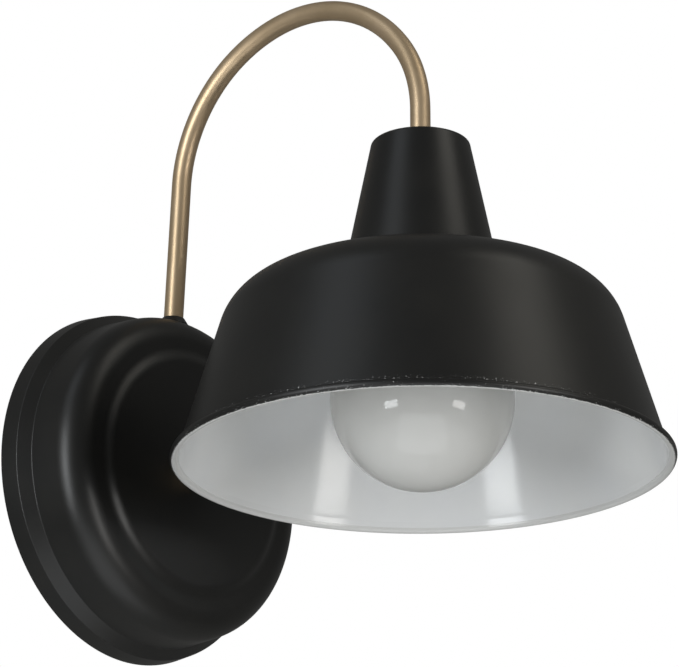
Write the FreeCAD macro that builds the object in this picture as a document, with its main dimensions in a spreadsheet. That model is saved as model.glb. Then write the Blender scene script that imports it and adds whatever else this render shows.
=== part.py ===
"""Outdoor wall lantern: wall canopy, bent tube arm, cone neck, bell shade, lampholder, globe bulb.

Frame: origin at the canopy's centre on the wall plane, +Z up, the lantern stands out towards -Y,
millimetres. Pieces on the lamp's axis are drawn in heights above the plane of the shade's rim.
"""
import FreeCAD, Part
import math
import os
import re

import Sketcher

Vector = FreeCAD.Vector
UP = Vector(0, 0, 1)

sizes = {
    # overall
    "reach": 165.1,
    "rim_drop": 22.0,
    "running_gap": 0.05,
    "fit_clearance": 0.1,
    "washer_clearance": 0.2,
    "loose_clearance": 0.3,
    "tip_clearance": 0.5,
    "plate_margin": 0.4,
    "overrun": 1.0,
    "driver_slot_width": 0.9,
    "driver_slot_share": 0.5,
    # shade
    "rim_radius": 101.6,
    "bead_radius": 1.66,
    "skirt_angle": 16.6,
    "shade_top_slope": 12.4,
    "shoulder_radius": 24.7,
    "seat_margin": 0.6,
    "seat_height": 81.6,
    "shade_wall": 1.0,
    # neck
    "neck_top_radius": 20.4,
    "neck_base_radius": 31.8,
    "neck_length": 56.5,
    "neck_wall": 1.0,
    "neck_edge": 1.8,
    "neck_lip_width": 6.8,
    "gasket_thickness": 0.8,
    "gasket_inset": 0.6,
    # arm
    "tube_radius": 4.25,
    "tube_wall": 1.15,
    "leg_reach": 27.7,
    "leg_lean": 3.25,
    "rear_bend_radius": 63.4,
    "rear_bend_turn": 57.7,
    "crown_turn": 84.5,
    "front_bend_radius": 55.0,
    "front_drop": 15.6,
    "shoulder_step": 0.25,
    "thread_past_nut": 2.0,
    "nut_wall": 2.5,
    "nut_thickness": 4.0,
    "washer_width": 3.6,
    "washer_thickness": 0.8,
    "bushing_flange": 1.0,
    "bushing_depth": 5.0,
    "lead_slack": 0.25,
    "bushing_edge": 0.4,
    # canopy
    "flange_width": 5.1,
    "flange_draft": 0.8,
    "flange_depth": 8.3,
    "flange_edge": 0.9,
    "dome_radius": 71.4,
    "dome_start": 13.0,
    "dome_taper": 3.5,
    "dome_shoulder": 12.2,
    "face_depth": 37.8,
    "face_ring_width": 17.9,
    "step_width": 3.5,
    "plateau_rise": 1.8,
    "step_round": 1.6,
    "canopy_wall": 0.9,
    "boss_height": 2.8,
    "boss_width": 2.35,
    "boss_top_width": 0.45,
    "boss_stand_out": 1.8,
    "boss_inner_length": 3.2,
    "wall_gasket_thickness": 3.0,
    "wall_gasket_width": 8.0,
    # wall mounting
    "strap_length": 110.0,
    "strap_width": 20.0,
    "strap_thickness": 2.5,
    "box_screw_spacing": 88.9,
    "strap_corner": 4.0,
    "slot_length": 11.0,
    "slot_radius": 2.3,
    "nipple_radius": 5.05,
    "nipple_bore_radius": 3.2,
    "nipple_stand_out": 7.0,
    "lock_nut_width": 14.0,
    "lock_nut_thickness": 3.0,
    "cap_washer_radius": 9.0,
    "cap_washer_thickness": 1.0,
    "cap_nut_radius": 8.2,
    "cap_nut_length": 11.0,
    "cap_nut_collar_height": 3.0,
    "cap_nut_bevel": 0.6,
    "cap_nut_step": 1.4,
    "cap_nut_edge": 0.8,
    "cap_nut_corner": 0.5,
    "cap_nut_crown": 4.5,
    "ground_screw_offset": 20.0,
    "ground_shank_radius": 1.9,
    "ground_head_radius": 3.6,
    "ground_head_height": 2.4,
    "ground_wire_radius": 0.8,
    "ground_wire_tail": 4.0,
    "ground_wire_bend": 8.0,
    "ground_wire_first_level": 15.0,
    "ground_wire_second_level": 29.0,
    "ground_wire_second_shift": 7.0,
    "ground_wire_second_lift": 10.0,
    "ground_wire_end_level": 43.0,
    "ground_wire_end_shift": 4.0,
    "ground_wire_end_lift": 16.0,
    # lampholder
    "socket_radius": 19.0,
    "socket_mouth": 71.5,
    "socket_height": 37.5,
    "socket_ceiling": 30.5,
    "socket_mouth_edge": 1.0,
    "socket_top_edge": 1.2,
    "thread_clearance": 0.1,
    "shell_wall": 0.4,
    "shell_inset": 1.5,
    "shell_edge": 0.6,
    "bulb_mouth_gap": 0.7,
    "shell_hole_radius": 7.0,
    "contact_radius": 6.0,
    "contact_thickness": 0.5,
    "rivet_radius": 1.5,
    "rivet_head_radius": 2.8,
    "shell_rivet_radius": 1.1,
    "shell_rivet_head_radius": 1.8,
    "shell_rivet_offset": 8.2,
    "rivet_head_height": 0.8,
    "rivet_edge": 0.3,
    "terminal_thickness": 0.8,
    "terminal_width": 6.4,
    "terminal_end": 16.0,
    "post_offset": 13.0,
    "post_radius": 2.6,
    "post_height": 4.6,
    "post_root": 0.2,
    "post_screw_height": 2.76,
    "terminal_screw_radius": 1.1,
    "terminal_head_radius": 1.9,
    "terminal_head_height": 1.3,
    "ring_radius": 26.0,
    "ring_thickness": 3.5,
    "ring_edge": 1.0,
    "bracket_width": 12.0,
    "bracket_thickness": 1.2,
    "bracket_half_span": 9.5,
    "bracket_bend": 0.6,
    "socket_screw_radius": 1.7,
    "socket_screw_depth": 5.0,
    "socket_screw_head_radius": 3.0,
    "socket_screw_head_height": 2.2,
    # leads
    "lead_radius": 0.9,
    "lead_bend": 5.5,
    "lead_canopy_bend": 11.0,
    "lead_exit": 12.0,
    "lead_spread": 20.0,
    "connector_stand_out": 20.0,
    "connector_level": 14.0,
    "connector_length": 22.0,
    "connector_mouth_radius": 5.6,
    "connector_tip_radius": 3.6,
    "connector_depth": 9.0,
    "connector_tip_edge": 1.2,
    "lead_end_gap": 0.2,
    "lead_straight": 0.3,
    # bulb
    "globe_radius": 37.4,
    "globe_level": 27.5,
    "globe_wall": 0.9,
    "bulb_neck_margin": 1.5,
    "bulb_blend": 12.0,
    "bulb_step_edge": 1.0,
    "collar_height": 4.0,
    "collar_gap": 0.15,
    "shell_step_gap": 0.4,
    "bulb_shell_radius": 13.1,
    "bulb_shell_wall": 0.35,
    "bulb_shell_length": 19.4,
    "bulb_shell_taper": 2.8,
    "bulb_shell_narrowing": 2.3,
    "bulb_insulator_height": 3.3,
    "insulator_bore_radius": 0.8,
    "insulator_root": 1.0,
    "insulator_lip": 0.3,
    "insulator_edge": 0.2,
    "insulator_ledge": 0.5,
    "bulb_tip_radius": 4.8,
    "bulb_tip_height": 1.25,
    "bulb_tip_edge": 1.0,
    "stem_radius": 2.4,
    "stem_level": 46.0,
    "stem_bead_width": 0.8,
    "stem_bead_height": 3.0,
    "stem_bead_edge": 0.7,
    "stem_bead_blend": 1.0,
    "flare_start": 12.0,
    "flare_middle": 6.0,
    "flare_middle_width": 2.2,
    "flare_end": 2.0,
    "flare_lip": 1.0,
    "flare_bore_width": 1.0,
    "flare_bore_depth": 4.5,
    "support_radius": 0.35,
    "support_spacing": 1.6,
    "support_root": 18.0,
    "support_rise": 10.0,
    "support_bend": 3.0,
    "filament_level": 42.0,
    "filament_ring_radius": 12.0,
    "filament_radius": 0.4,
}

doc = FreeCAD.newDocument("wall_lantern")
sheet = doc.addObject("Spreadsheet::Sheet", "Sizes")
for row, (alias, amount) in enumerate(sizes.items(), start=1):
    sheet.set("A%d" % row, str(amount))
    sheet.setAlias("A%d" % row, alias)
    sheet.set("B%d" % row, alias.replace("_", " "))
doc.recompute()

pieces = {}

# sizes and places that follow from the driving ones
derived = {
    # shade and neck, heights above the rim plane
    "seat_radius": "neck_base_radius + seat_margin",
    "skirt_foot_radius": "rim_radius - 1.5 * bead_radius",
    "skirt_foot_height": "0.6 * bead_radius",
    "neck_lip_radius": "neck_base_radius - neck_lip_width",
    "neck_base": "seat_height + gasket_thickness",
    "neck_top": "neck_base + neck_length",
    "neck_ceiling": "neck_top - neck_wall",
    # arm
    "thread_radius": "tube_radius - shoulder_step",
    "thread_hole_radius": "thread_radius + fit_clearance",
    "tube_bore_radius": "tube_radius - tube_wall",
    "nut_width": "2 * (thread_radius + nut_wall)",
    "washer_radius": "thread_radius + washer_width",
    "nut_and_washer": "washer_thickness + nut_thickness + thread_past_nut",
    "base_thread_end": "boss_end + nut_and_washer",
    "top_thread_end": "neck_wall + bracket_thickness + nut_and_washer",
    "bushing_bore_radius": "2 * (lead_radius + lead_slack)",
    "lead_offset": "lead_radius + lead_slack - running_gap",
    # the arch's headings, counted from straight up towards the lamp
    "rear_heading": "leg_lean + rear_bend_turn",
    "front_heading": "leg_lean + rear_bend_turn + crown_turn",
    "rear_bend_span": "rear_bend_radius * (cos(leg_lean) - cos(rear_heading))",
    "front_bend_span": "front_bend_radius * (1 + cos(front_heading))",
    "crown_span": "reach - leg_reach - rear_bend_span - front_bend_span",
    "crown_radius": "crown_span / (cos(rear_heading) - cos(front_heading))",
    "rear_bend_rise": "rear_bend_radius * (sin(rear_heading) - sin(leg_lean))",
    "crown_rise": "crown_radius * (sin(front_heading) - sin(rear_heading))",
    "front_bend_fall": "front_bend_radius * sin(front_heading)",
    "arch_start": "neck_top + front_drop + front_bend_fall - crown_rise - rear_bend_rise",
    # canopy
    "flange_radius": "dome_radius + flange_width",
    "flange_front_radius": "flange_radius - flange_draft",
    "step_radius": "dome_radius - face_ring_width",
    "plateau_radius": "step_radius - step_width",
    "plateau_depth": "face_depth + plateau_rise",
    "boss_radius": "tube_radius + boss_width",
    "boss_top_radius": "tube_radius + boss_top_width",
    "boss_level": "dome_radius + boss_stand_out",
    "boss_end": "boss_height + boss_inner_length",
    "cap_seat": "plateau_depth + cap_washer_thickness",
    "nipple_end": "cap_seat + nipple_stand_out",
    # lampholder, heights above the rim plane
    "shell_radius": "bulb_shell_radius + thread_clearance",
    "shell_bore_radius": "shell_radius + shell_wall + fit_clearance",
    "shell_foot": "socket_mouth + shell_inset",
    "socket_hole_radius": "socket_radius + loose_clearance",
    "socket_top": "socket_mouth + socket_height",
    "socket_floor": "socket_mouth + socket_ceiling",
    "shell_floor": "socket_floor - shell_wall - fit_clearance",
    "bracket_outside": "bracket_half_span + bracket_thickness",
    "socket_screw_offset": "bracket_outside + socket_screw_head_radius + loose_clearance",
    "bracket_foot_end": "socket_screw_offset + socket_screw_head_radius + plate_margin",
    "plate_top": "socket_top + terminal_thickness",
    "post_top": "plate_top + post_height",
    "post_screw_level": "plate_top + post_screw_height",
    # bulb, heights above the rim plane
    "bulb_neck_radius": "bulb_shell_radius + bulb_neck_margin",
    "bulb_step": "socket_mouth - bulb_mouth_gap",
    "bulb_foot": "bulb_step + shell_step_gap",
    "bulb_shell_bend": "bulb_foot + bulb_shell_length",
    "bulb_shell_top": "bulb_shell_bend + bulb_shell_taper",
    "bulb_shell_mouth_radius": "bulb_shell_radius - bulb_shell_narrowing",
    "bulb_insulator_top": "bulb_shell_top + bulb_insulator_height",
    "bulb_tip_foot": "bulb_insulator_top + running_gap",
    "bulb_top": "bulb_tip_foot + bulb_tip_height",
    "collar_radius": "bulb_shell_radius - bulb_shell_wall - collar_gap",
}

# ---------------------------------------------------------------- expressions and placing

def bound(expression):
    """An expression on the sizes, with derived ones written out and the sheet's name before each."""
    def written_out(word):
        if word[0] in derived:
            return "(%s)" % bound(derived[word[0]])
        return "Sizes." + word[0] if word[0] in sizes else word[0]
    return re.sub(r"[a-z][a-z_]*", written_out, expression)


def number(expression):
    """What an expression on the sizes comes to."""
    result = sheet.evalExpression(bound(expression))
    return float(getattr(result, "Value", result))


def place(piece, base=("0", "0", "0"), axis=(1, 0, 0), angle="0"):
    """Puts a piece at a base point given by expressions, turned by an angle about an axis."""
    rotation = FreeCAD.Rotation(Vector(*axis), number(angle))
    piece.Placement = FreeCAD.Placement(Vector(*[number(part) for part in base]), rotation)
    for letter, part in zip("xyz", base):
        if part != "0":
            piece.setExpression("Placement.Base." + letter, bound(part))
    return piece


lamp_base = ("0", "-reach", "-rim_drop")
leg_seat = ("0", "-leg_reach + (arch_start - rim_drop - boss_level) * tan(leg_lean)", "boss_level")


def on_lamp(piece):
    """Stands a piece on the lamp's axis, with its heights counted from the rim plane."""
    return place(piece, lamp_base)


def on_wall(piece):
    """Lays a piece on the canopy's axis, with its heights counted out from the wall."""
    return place(piece, angle="90")


def on_leg(piece):
    """Stands a piece on the leaning leg's axis, with its heights counted from the boss's top."""
    return place(piece, leg_seat, angle="leg_lean")


def keep(label, piece):
    """Names the object that makes one sub-part."""
    piece.Label = label
    pieces[label] = piece
    return piece


# ---------------------------------------------------------------- sketches

def new_sketch(body, role):
    """A sketch on one of its body's own origin planes."""
    sketch = body.newObject("Sketcher::SketchObject", "Sketch")
    plane = [feature for feature in body.Origin.OriginFeatures if feature.Role == role][0]
    sketch.AttachmentSupport = [(plane, "")]
    sketch.MapMode = "FlatFace"
    return sketch


def bind(sketch, constraint, expression):
    """Adds a dimension whose value follows the sizes."""
    index = sketch.addConstraint(constraint)
    sketch.setExpression("Constraints[%d]" % index, bound(expression))


def pin(sketch, geometry, end, x, y):
    """Fixes a point of a sketch at coordinates given by expressions."""
    if x == "0" and y == "0":
        sketch.addConstraint(Sketcher.Constraint("Coincident", geometry, end, -1, 1))
        return
    for kind, part, line in (("DistanceX", x, -2), ("DistanceY", y, -1)):
        if part == "0":
            sketch.addConstraint(Sketcher.Constraint("PointOnObject", geometry, end, line))
        else:
            bind(sketch, Sketcher.Constraint(kind, -1, 1, geometry, end, number(part)), part)


def arc_between(start, end, centre):
    """The shorter arc about a centre, and whether it runs from start to end anticlockwise."""
    first = math.atan2(start.y - centre.y, start.x - centre.x)
    last = math.atan2(end.y - centre.y, end.x - centre.x)
    turn = (last - first) % (2 * math.pi)
    circle = Part.Circle(centre, UP, centre.distanceToPoint(start))
    if turn <= math.pi:
        return Part.ArcOfCircle(circle, first, first + turn), True
    return Part.ArcOfCircle(circle, last, last + 2 * math.pi - turn), False


def corner_arc(before, corner, after, radius):
    """Ends and centre of the arc that rounds a corner."""
    back = (before - corner).normalize()
    ahead = (after - corner).normalize()
    half = back.getAngle(ahead) / 2
    trim = radius / math.tan(half)
    centre = corner + (back + ahead).normalize() * (radius / math.sin(half))
    return corner + back * trim, corner + ahead * trim, centre


def outline(sketch, corners):
    """A closed outline of straight and round stretches through corners given by expressions.

    A corner is (x, y), or (x, y, radius) where it is rounded, or (x, y, radius, side) where an arc
    of that radius leads to it from the corner before, with its centre on the left (1) or right (-1).
    """
    count = len(corners)
    points = [Vector(number(corner[0]), number(corner[1]), 0) for corner in corners]
    ends = []
    for index, corner in enumerate(corners):
        if len(corner) == 3:
            ends.append(corner_arc(points[index - 1], points[index], points[(index + 1) % count],
                                   number(corner[2])))
        else:
            ends.append((points[index], points[index], None))
    stretches = []
    for index, corner in enumerate(corners):
        start = ends[index - 1][1]
        end = ends[index][0]
        if len(corner) == 4:
            chord = end - start
            radius = number(corner[2])
            rise = math.sqrt(max(radius ** 2 - (chord.Length / 2) ** 2, 0))
            left = Vector(-chord.y, chord.x, 0).normalize()
            centre = (start + end) * 0.5 + left * (rise * corner[3])
            arc, forward = arc_between(start, end, centre)
            geometry = sketch.addGeometry(arc)
            stretches.append((geometry, 1, 2) if forward else (geometry, 2, 1))
            bind(sketch, Sketcher.Constraint("Radius", geometry, radius), corner[2])
        else:
            stretches.append((sketch.addGeometry(Part.LineSegment(start, end)), 1, 2))
    for index, corner in enumerate(corners):
        before, _, tail = stretches[index]
        after, head, _ = stretches[(index + 1) % count]
        if ends[index][2] is None:
            sketch.addConstraint(Sketcher.Constraint("Coincident", before, tail, after, head))
            pin(sketch, after, head, corner[0], corner[1])
            continue
        arc, forward = arc_between(*ends[index])
        geometry = sketch.addGeometry(arc)
        first, last = (1, 2) if forward else (2, 1)
        mark = sketch.addGeometry(Part.Point(points[index]), True)
        pin(sketch, mark, 1, corner[0], corner[1])
        sketch.addConstraint(Sketcher.Constraint("PointOnObject", mark, 1, before))
        sketch.addConstraint(Sketcher.Constraint("PointOnObject", mark, 1, after))
        sketch.addConstraint(Sketcher.Constraint("Tangent", before, tail, geometry, first))
        sketch.addConstraint(Sketcher.Constraint("Tangent", geometry, last, after, head))
        bind(sketch, Sketcher.Constraint("Radius", geometry, number(corner[2])), corner[2])


def circle(sketch, x, y, radius):
    """A circle whose centre and radius follow the sizes."""
    middle = Vector(number(x), number(y), 0)
    geometry = sketch.addGeometry(Part.Circle(middle, UP, number(radius)))
    bind(sketch, Sketcher.Constraint("Radius", geometry, number(radius)), radius)
    pin(sketch, geometry, 3, x, y)


# ---------------------------------------------------------------- kinds of solid

def new_body(name):
    return doc.addObject("PartDesign::Body", name)


def revolve(body, corners):
    """Adds a full turn of an outline about the body's Z axis."""
    sketch = new_sketch(body, "XZ_Plane")
    outline(sketch, corners)
    turn = body.newObject("PartDesign::Revolution", "Revolution")
    turn.Profile = sketch
    turn.ReferenceAxis = (sketch, ["V_Axis"])
    turn.Angle = 360
    return turn


def turned(name, corners):
    """A body turned about its Z axis from an outline of (radius, height) corners."""
    body = new_body(name)
    revolve(body, corners)
    return body


def ring(name, inner, outer, low, high):
    """A plain ring about the Z axis."""
    return turned(name, [(inner, low), (outer, low), (outer, high), (inner, high)])


def cylinder(name, radius, low, high, at=("0", "0")):
    """A round bar along Z."""
    bar = doc.addObject("Part::Cylinder", name)
    bar.setExpression("Radius", bound(radius))
    bar.setExpression("Height", bound("(%s) - (%s)" % (high, low)))
    return place(bar, (at[0], at[1], low))


def block(name, low, high):
    """A box between two corners."""
    box = doc.addObject("Part::Box", name)
    for side, start, end in zip(("Length", "Width", "Height"), low, high):
        box.setExpression(side, bound("(%s) - (%s)" % (end, start)))
    return place(box, low)


def fused(name, shapes):
    """Several overlapping shapes made one."""
    joined = doc.addObject("Part::MultiFuse", name)
    joined.Shapes = shapes
    joined.Refine = True
    return joined


def cut(name, base, tools):
    """A shape with one or more others cut out of it."""
    tool = tools[0] if len(tools) == 1 else fused(name + "_tools", tools)
    result = doc.addObject("Part::Cut", name)
    result.Base = base
    result.Tool = tool
    return result


def group(name, members):
    """Separate like pieces that share one node."""
    together = doc.addObject("Part::Compound", name)
    together.Links = members
    return together


def hex_nut(name, width, low, thickness, bore):
    """A hexagon nut about the Z axis."""
    prism = doc.addObject("Part::Prism", name + "_blank")
    prism.Polygon = 6
    prism.setExpression("Circumradius", bound("%s / 2 / cos(30)" % width))
    prism.setExpression("Height", bound(thickness))
    place(prism, ("0", "0", low))
    hole = cylinder(name + "_hole", bore, "%s - overrun" % low,
                    "%s + %s + overrun" % (low, thickness))
    return cut(name, prism, [hole])


def slotted_screw(name, shank, head, head_height, tip, under_head):
    """A round-headed screw along Z, with a driving slot across its head."""
    top = "%s + %s" % (under_head, head_height)
    depth = "%s * driver_slot_share" % head_height
    blank = turned(name + "_blank", [
        ("0", tip), (shank, tip), (shank, under_head), (head, under_head),
        (head, top, depth), ("0", top)])
    slot = block(name + "_slot",
                 ("-%s - overrun" % head, "-driver_slot_width / 2", "%s - %s" % (top, depth)),
                 ("%s + overrun" % head, "driver_slot_width / 2", "%s + overrun" % top))
    return cut(name, blank, [slot])


# ---------------------------------------------------------------- shade

def shade_corner(inset):
    """Where the skirt's line meets the top's line, both moved inwards by an inset."""
    skirt_slope = "tan(skirt_angle)"
    top_slope = "tan(shade_top_slope)"
    foot = "(skirt_foot_radius - %s / cos(skirt_angle))" % inset
    top = "(seat_height - %s / cos(shade_top_slope))" % inset
    radius = "((%s - %s * (%s - skirt_foot_height + seat_radius * %s)) / (1 - %s * %s))" % (
        foot, skirt_slope, top, top_slope, skirt_slope, top_slope)
    height = "(%s - (%s - seat_radius) * %s)" % (top, radius, top_slope)
    return foot, radius, height


def seat_corner_radius(inset):
    """Radius at which the sloping top, moved inwards by an inset, meets the flat seat."""
    return "(seat_radius + (%s - %s / cos(shade_top_slope)) / tan(shade_top_slope))" % (inset, inset)


def make_shade():
    foot, outer_radius, outer_height = shade_corner("0")
    inner_foot, inner_radius, inner_height = shade_corner("shade_wall")
    hole = "socket_hole_radius"
    body = turned("shade_body", [
        (hole, "seat_height - shade_wall"),
        (seat_corner_radius("shade_wall"), "seat_height - shade_wall"),
        (inner_radius, inner_height, "shoulder_radius - shade_wall"),
        (inner_foot, "skirt_foot_height"),
        (foot, "skirt_foot_height"),
        (outer_radius, outer_height, "shoulder_radius"),
        ("seat_radius", "seat_height"),
        (hole, "seat_height")])
    bead = new_sketch(body, "XZ_Plane")
    circle(bead, "rim_radius - bead_radius", "bead_radius", "bead_radius")
    roll = body.newObject("PartDesign::Revolution", "Bead")
    roll.Profile = bead
    roll.ReferenceAxis = (bead, ["V_Axis"])
    roll.Angle = 360
    keep("shade", on_lamp(body))


def make_shade_ring():
    keep("shade_ring", on_lamp(turned("ring_body", [
        ("socket_radius + fit_clearance", "seat_height - shade_wall - ring_thickness"),
        ("ring_radius", "seat_height - shade_wall - ring_thickness", "ring_edge"),
        ("ring_radius", "seat_height - shade_wall"),
        ("socket_radius + fit_clearance", "seat_height - shade_wall")])))


# ---------------------------------------------------------------- neck

def neck_inner_radius(height):
    """Inner radius of the neck's cone at a height."""
    slope = "((neck_base_radius - neck_top_radius) / neck_length)"
    wall = "(neck_wall * sqrt(1 + %s ^ 2))" % slope
    return "neck_base_radius - %s - %s * (%s - neck_base)" % (wall, slope, height)


def make_neck():
    keep("neck", on_lamp(turned("neck_body", [
        ("neck_lip_radius", "neck_base"),
        ("neck_base_radius", "neck_base"),
        ("neck_top_radius", "neck_top", "neck_edge"),
        ("thread_hole_radius", "neck_top"),
        ("thread_hole_radius", "neck_ceiling"),
        (neck_inner_radius("neck_ceiling"), "neck_ceiling", "neck_edge - neck_wall"),
        (neck_inner_radius("(neck_base + neck_wall)"), "neck_base + neck_wall"),
        ("neck_lip_radius", "neck_base + neck_wall")])))


def make_neck_gasket():
    keep("neck_gasket", on_lamp(ring(
        "gasket_body", "neck_lip_radius + gasket_inset", "neck_base_radius - gasket_inset",
        "seat_height", "neck_base")))


# ---------------------------------------------------------------- arm

def arm_route(sketch, extra):
    """The arm's centre line from the canopy's boss to the neck's top, longer by extra at each end.

    In the sketch, X is the row's Y and Y is the row's Z. Three tangent arcs make the arch: rear
    bend, crown and front bend. The crown's radius closes the arch on the lamp's axis.
    """
    lean = math.radians(number("leg_lean"))
    point = Vector(-number("leg_reach"), number("arch_start - rim_drop"), 0)
    foot_y = "%s + (%s) * sin(leg_lean)" % (leg_seat[1], extra)
    foot_z = "boss_level - (%s) * cos(leg_lean)" % extra
    foot = Vector(number(foot_y), number(foot_z), 0)
    last = sketch.addGeometry(Part.LineSegment(foot, point))
    pin(sketch, last, 1, foot_y, foot_z)
    pin(sketch, last, 2, "-leg_reach", "arch_start - rim_drop")
    heading = lean
    bends = (("rear_bend_radius", "rear_bend_turn"), ("crown_radius", "crown_turn"),
             ("front_bend_radius", "180 - front_heading"))
    for radius_name, turn_name in bends:
        radius = number(radius_name)
        turn = math.radians(number(turn_name))
        centre = point - Vector(math.cos(heading), math.sin(heading), 0) * radius
        circle_of_bend = Part.Circle(centre, UP, radius)
        bend = sketch.addGeometry(Part.ArcOfCircle(circle_of_bend, heading, heading + turn))
        sketch.addConstraint(Sketcher.Constraint("Tangent", last, 2, bend, 1))
        bind(sketch, Sketcher.Constraint("Radius", bend, radius), radius_name)
        if turn_name.endswith("_turn"):
            bind(sketch, Sketcher.Constraint("Angle", bend, turn), turn_name + " * 1 deg")
        heading += turn
        point = centre + Vector(math.cos(heading), math.sin(heading), 0) * radius
        last = bend
    end_z = "neck_top - rim_drop - (%s)" % extra
    drop = sketch.addGeometry(Part.LineSegment(point, Vector(point.x, number(end_z), 0)))
    sketch.addConstraint(Sketcher.Constraint("Tangent", last, 2, drop, 1))
    pin(sketch, drop, 2, "-reach", end_z)


def arm_bar(name, radius, extra):
    """A round bar swept along the arm's centre line."""
    body = new_body(name)
    route = new_sketch(body, "YZ_Plane")
    arm_route(route, extra)
    doc.recompute()
    section = body.newObject("Sketcher::SketchObject", "Section")
    section.AttachmentSupport = [(route, "Edge1")]
    section.MapMode = "NormalToEdge"
    circle(section, "0", "0", radius)
    doc.recompute()
    pipe = body.newObject("PartDesign::AdditivePipe", "Pipe")
    pipe.Profile = section
    pipe.Spine = (route, ["Edge%d" % (index + 1) for index in range(len(route.Shape.Edges))])
    return body, route


def down_leg(piece, depth):
    """Stands a piece on the leg's axis, starting a depth below the boss's top."""
    return place(piece, ("0", "%s + (%s) * sin(leg_lean)" % (leg_seat[1], depth),
                         "boss_level - (%s) * cos(leg_lean)" % depth), angle="leg_lean")


def make_arm():
    """The bent tube, with a narrower threaded end past the shoulder at each end.

    Returns the bore's centre line, which the leads follow.
    """
    tube, _ = arm_bar("arm_outside", "tube_radius", "0")
    base_thread = down_leg(cylinder("base_thread", "thread_radius", "0", "base_thread_end"),
                           "base_thread_end")
    top_thread = cylinder("top_thread", "thread_radius", "0", "top_thread_end")
    place(top_thread, ("0", "-reach", "neck_top - rim_drop - top_thread_end"))
    bore, route = arm_bar("arm_bore", "tube_bore_radius", "base_thread_end + bushing_flange")
    keep("arm_tube", cut("arm_tube", fused("arm_blank", [tube, base_thread, top_thread]), [bore]))
    return route


# ---------------------------------------------------------------- canopy

def dome_wall_radius(depth, inset):
    """Radius of the tapering dome wall at a depth from the wall, moved inwards by an inset."""
    return "(dome_radius - (%s - dome_start) * tan(dome_taper) - %s / cos(dome_taper))" % (depth, inset)


def canopy_side(inset):
    """The canopy's side and face, from its rear edge to its axis, moved inwards by an inset."""
    face = "(face_depth - %s)" % inset
    plateau = "plateau_depth - %s" % inset
    foot = "(dome_start - 0.5 * %s)" % inset
    return [
        ("flange_radius - %s" % inset, "0"),
        ("flange_front_radius - %s" % inset, "flange_depth - 0.5 * %s" % inset, "flange_edge"),
        (dome_wall_radius(foot, inset), foot, "flange_edge"),
        (dome_wall_radius(face, inset), face, "dome_shoulder - %s" % inset),
        ("step_radius - 0.5 * %s" % inset, face, "step_round"),
        ("plateau_radius - 0.5 * %s" % inset, plateau, "step_round"),
        ("nipple_radius + loose_clearance", plateau)]


def make_canopy():
    inside = canopy_side("canopy_wall")
    shell = on_wall(turned("canopy_shell", canopy_side("0") + inside[::-1]))
    boss = turned("arm_boss", [
        ("0", "-boss_end"), ("boss_radius", "-boss_end"),
        ("boss_radius", "-boss_height"), ("boss_top_radius", "0"), ("0", "0")])
    hole = down_leg(cylinder("arm_hole", "thread_hole_radius", "0", "boss_end + 2 * overrun"),
                    "boss_end + overrun")
    keep("canopy", cut("canopy", fused("canopy_blank", [shell, on_leg(boss)]), [hole]))


def make_wall_gasket():
    """Foam ring inside the canopy's rear edge, flush with it."""
    narrowing = "flange_draft * wall_gasket_thickness / flange_depth"
    outer = "(flange_radius - canopy_wall - %s - fit_clearance)" % narrowing
    keep("wall_gasket", on_wall(ring(
        "wall_gasket_body", outer + " - wall_gasket_width", outer, "0", "wall_gasket_thickness")))


# ---------------------------------------------------------------- wall mounting

def make_strap():
    """Crossbar that screws to a ceiling or wall box through two slots in line."""
    body = new_body("strap_body")
    sketch = new_sketch(body, "XY_Plane")
    half = "(strap_length / 2)"
    side = "(strap_width / 2)"
    outline(sketch, [("-" + half, "-" + side, "strap_corner"), (half, "-" + side, "strap_corner"),
                     (half, side, "strap_corner"), ("-" + half, side, "strap_corner")])
    pad = body.newObject("PartDesign::Pad", "Pad")
    pad.Profile = sketch
    pad.setExpression("Length", bound("strap_thickness"))
    slots = []
    for sign, name in (("", "right"), ("-", "left")):
        centre = "%s(box_screw_spacing / 2)" % sign
        travel = "(slot_length / 2 - slot_radius)"
        for end, shift in (("inner", "- " + travel), ("outer", "+ " + travel)):
            slots.append(cylinder("%s_%s_slot_end" % (name, end), "slot_radius", "-overrun",
                                  "strap_thickness + overrun", ("%s %s" % (centre, shift), "0")))
        slots.append(block(name + "_slot", ("%s - %s" % (centre, travel), "-slot_radius", "-overrun"),
                           ("%s + %s" % (centre, travel), "slot_radius",
                            "strap_thickness + overrun")))
    holes = [cylinder("nipple_hole", "nipple_radius + running_gap", "-overrun",
                      "strap_thickness + overrun"),
             cylinder("ground_hole", "ground_shank_radius + running_gap", "-overrun",
                      "strap_thickness + overrun", ("ground_screw_offset", "0"))]
    keep("mounting_strap", on_wall(cut("mounting_strap", body, slots + holes)))


def make_nipple_set():
    """Hollow threaded nipple through strap and canopy, its lock nut, and the cap nut outside."""
    thread = "nipple_radius + running_gap"
    keep("center_nipple", on_wall(ring(
        "nipple_body", "nipple_bore_radius", "nipple_radius", "0", "nipple_end")))
    keep("strap_lock_nut", on_wall(hex_nut(
        "strap_lock_nut", "lock_nut_width", "strap_thickness", "lock_nut_thickness", thread)))
    keep("cap_washer", on_wall(ring(
        "cap_washer_body", "nipple_radius + washer_clearance", "cap_washer_radius",
        "plateau_depth", "cap_seat")))
    end = "cap_seat + cap_nut_length"
    waist = "cap_nut_radius - cap_nut_step"
    collar = "cap_seat + cap_nut_collar_height"
    bore_end = "nipple_end + tip_clearance"
    keep("cap_nut", on_wall(turned("cap_nut_body", [
        (thread, "cap_seat"),
        ("cap_nut_radius", "cap_seat"),
        ("cap_nut_radius", collar, "cap_nut_edge"),
        (waist, collar + " + cap_nut_bevel", "cap_nut_corner"),
        (waist, end, "cap_nut_crown"),
        ("0", end),
        ("0", bore_end),
        (thread, bore_end)])))


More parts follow.
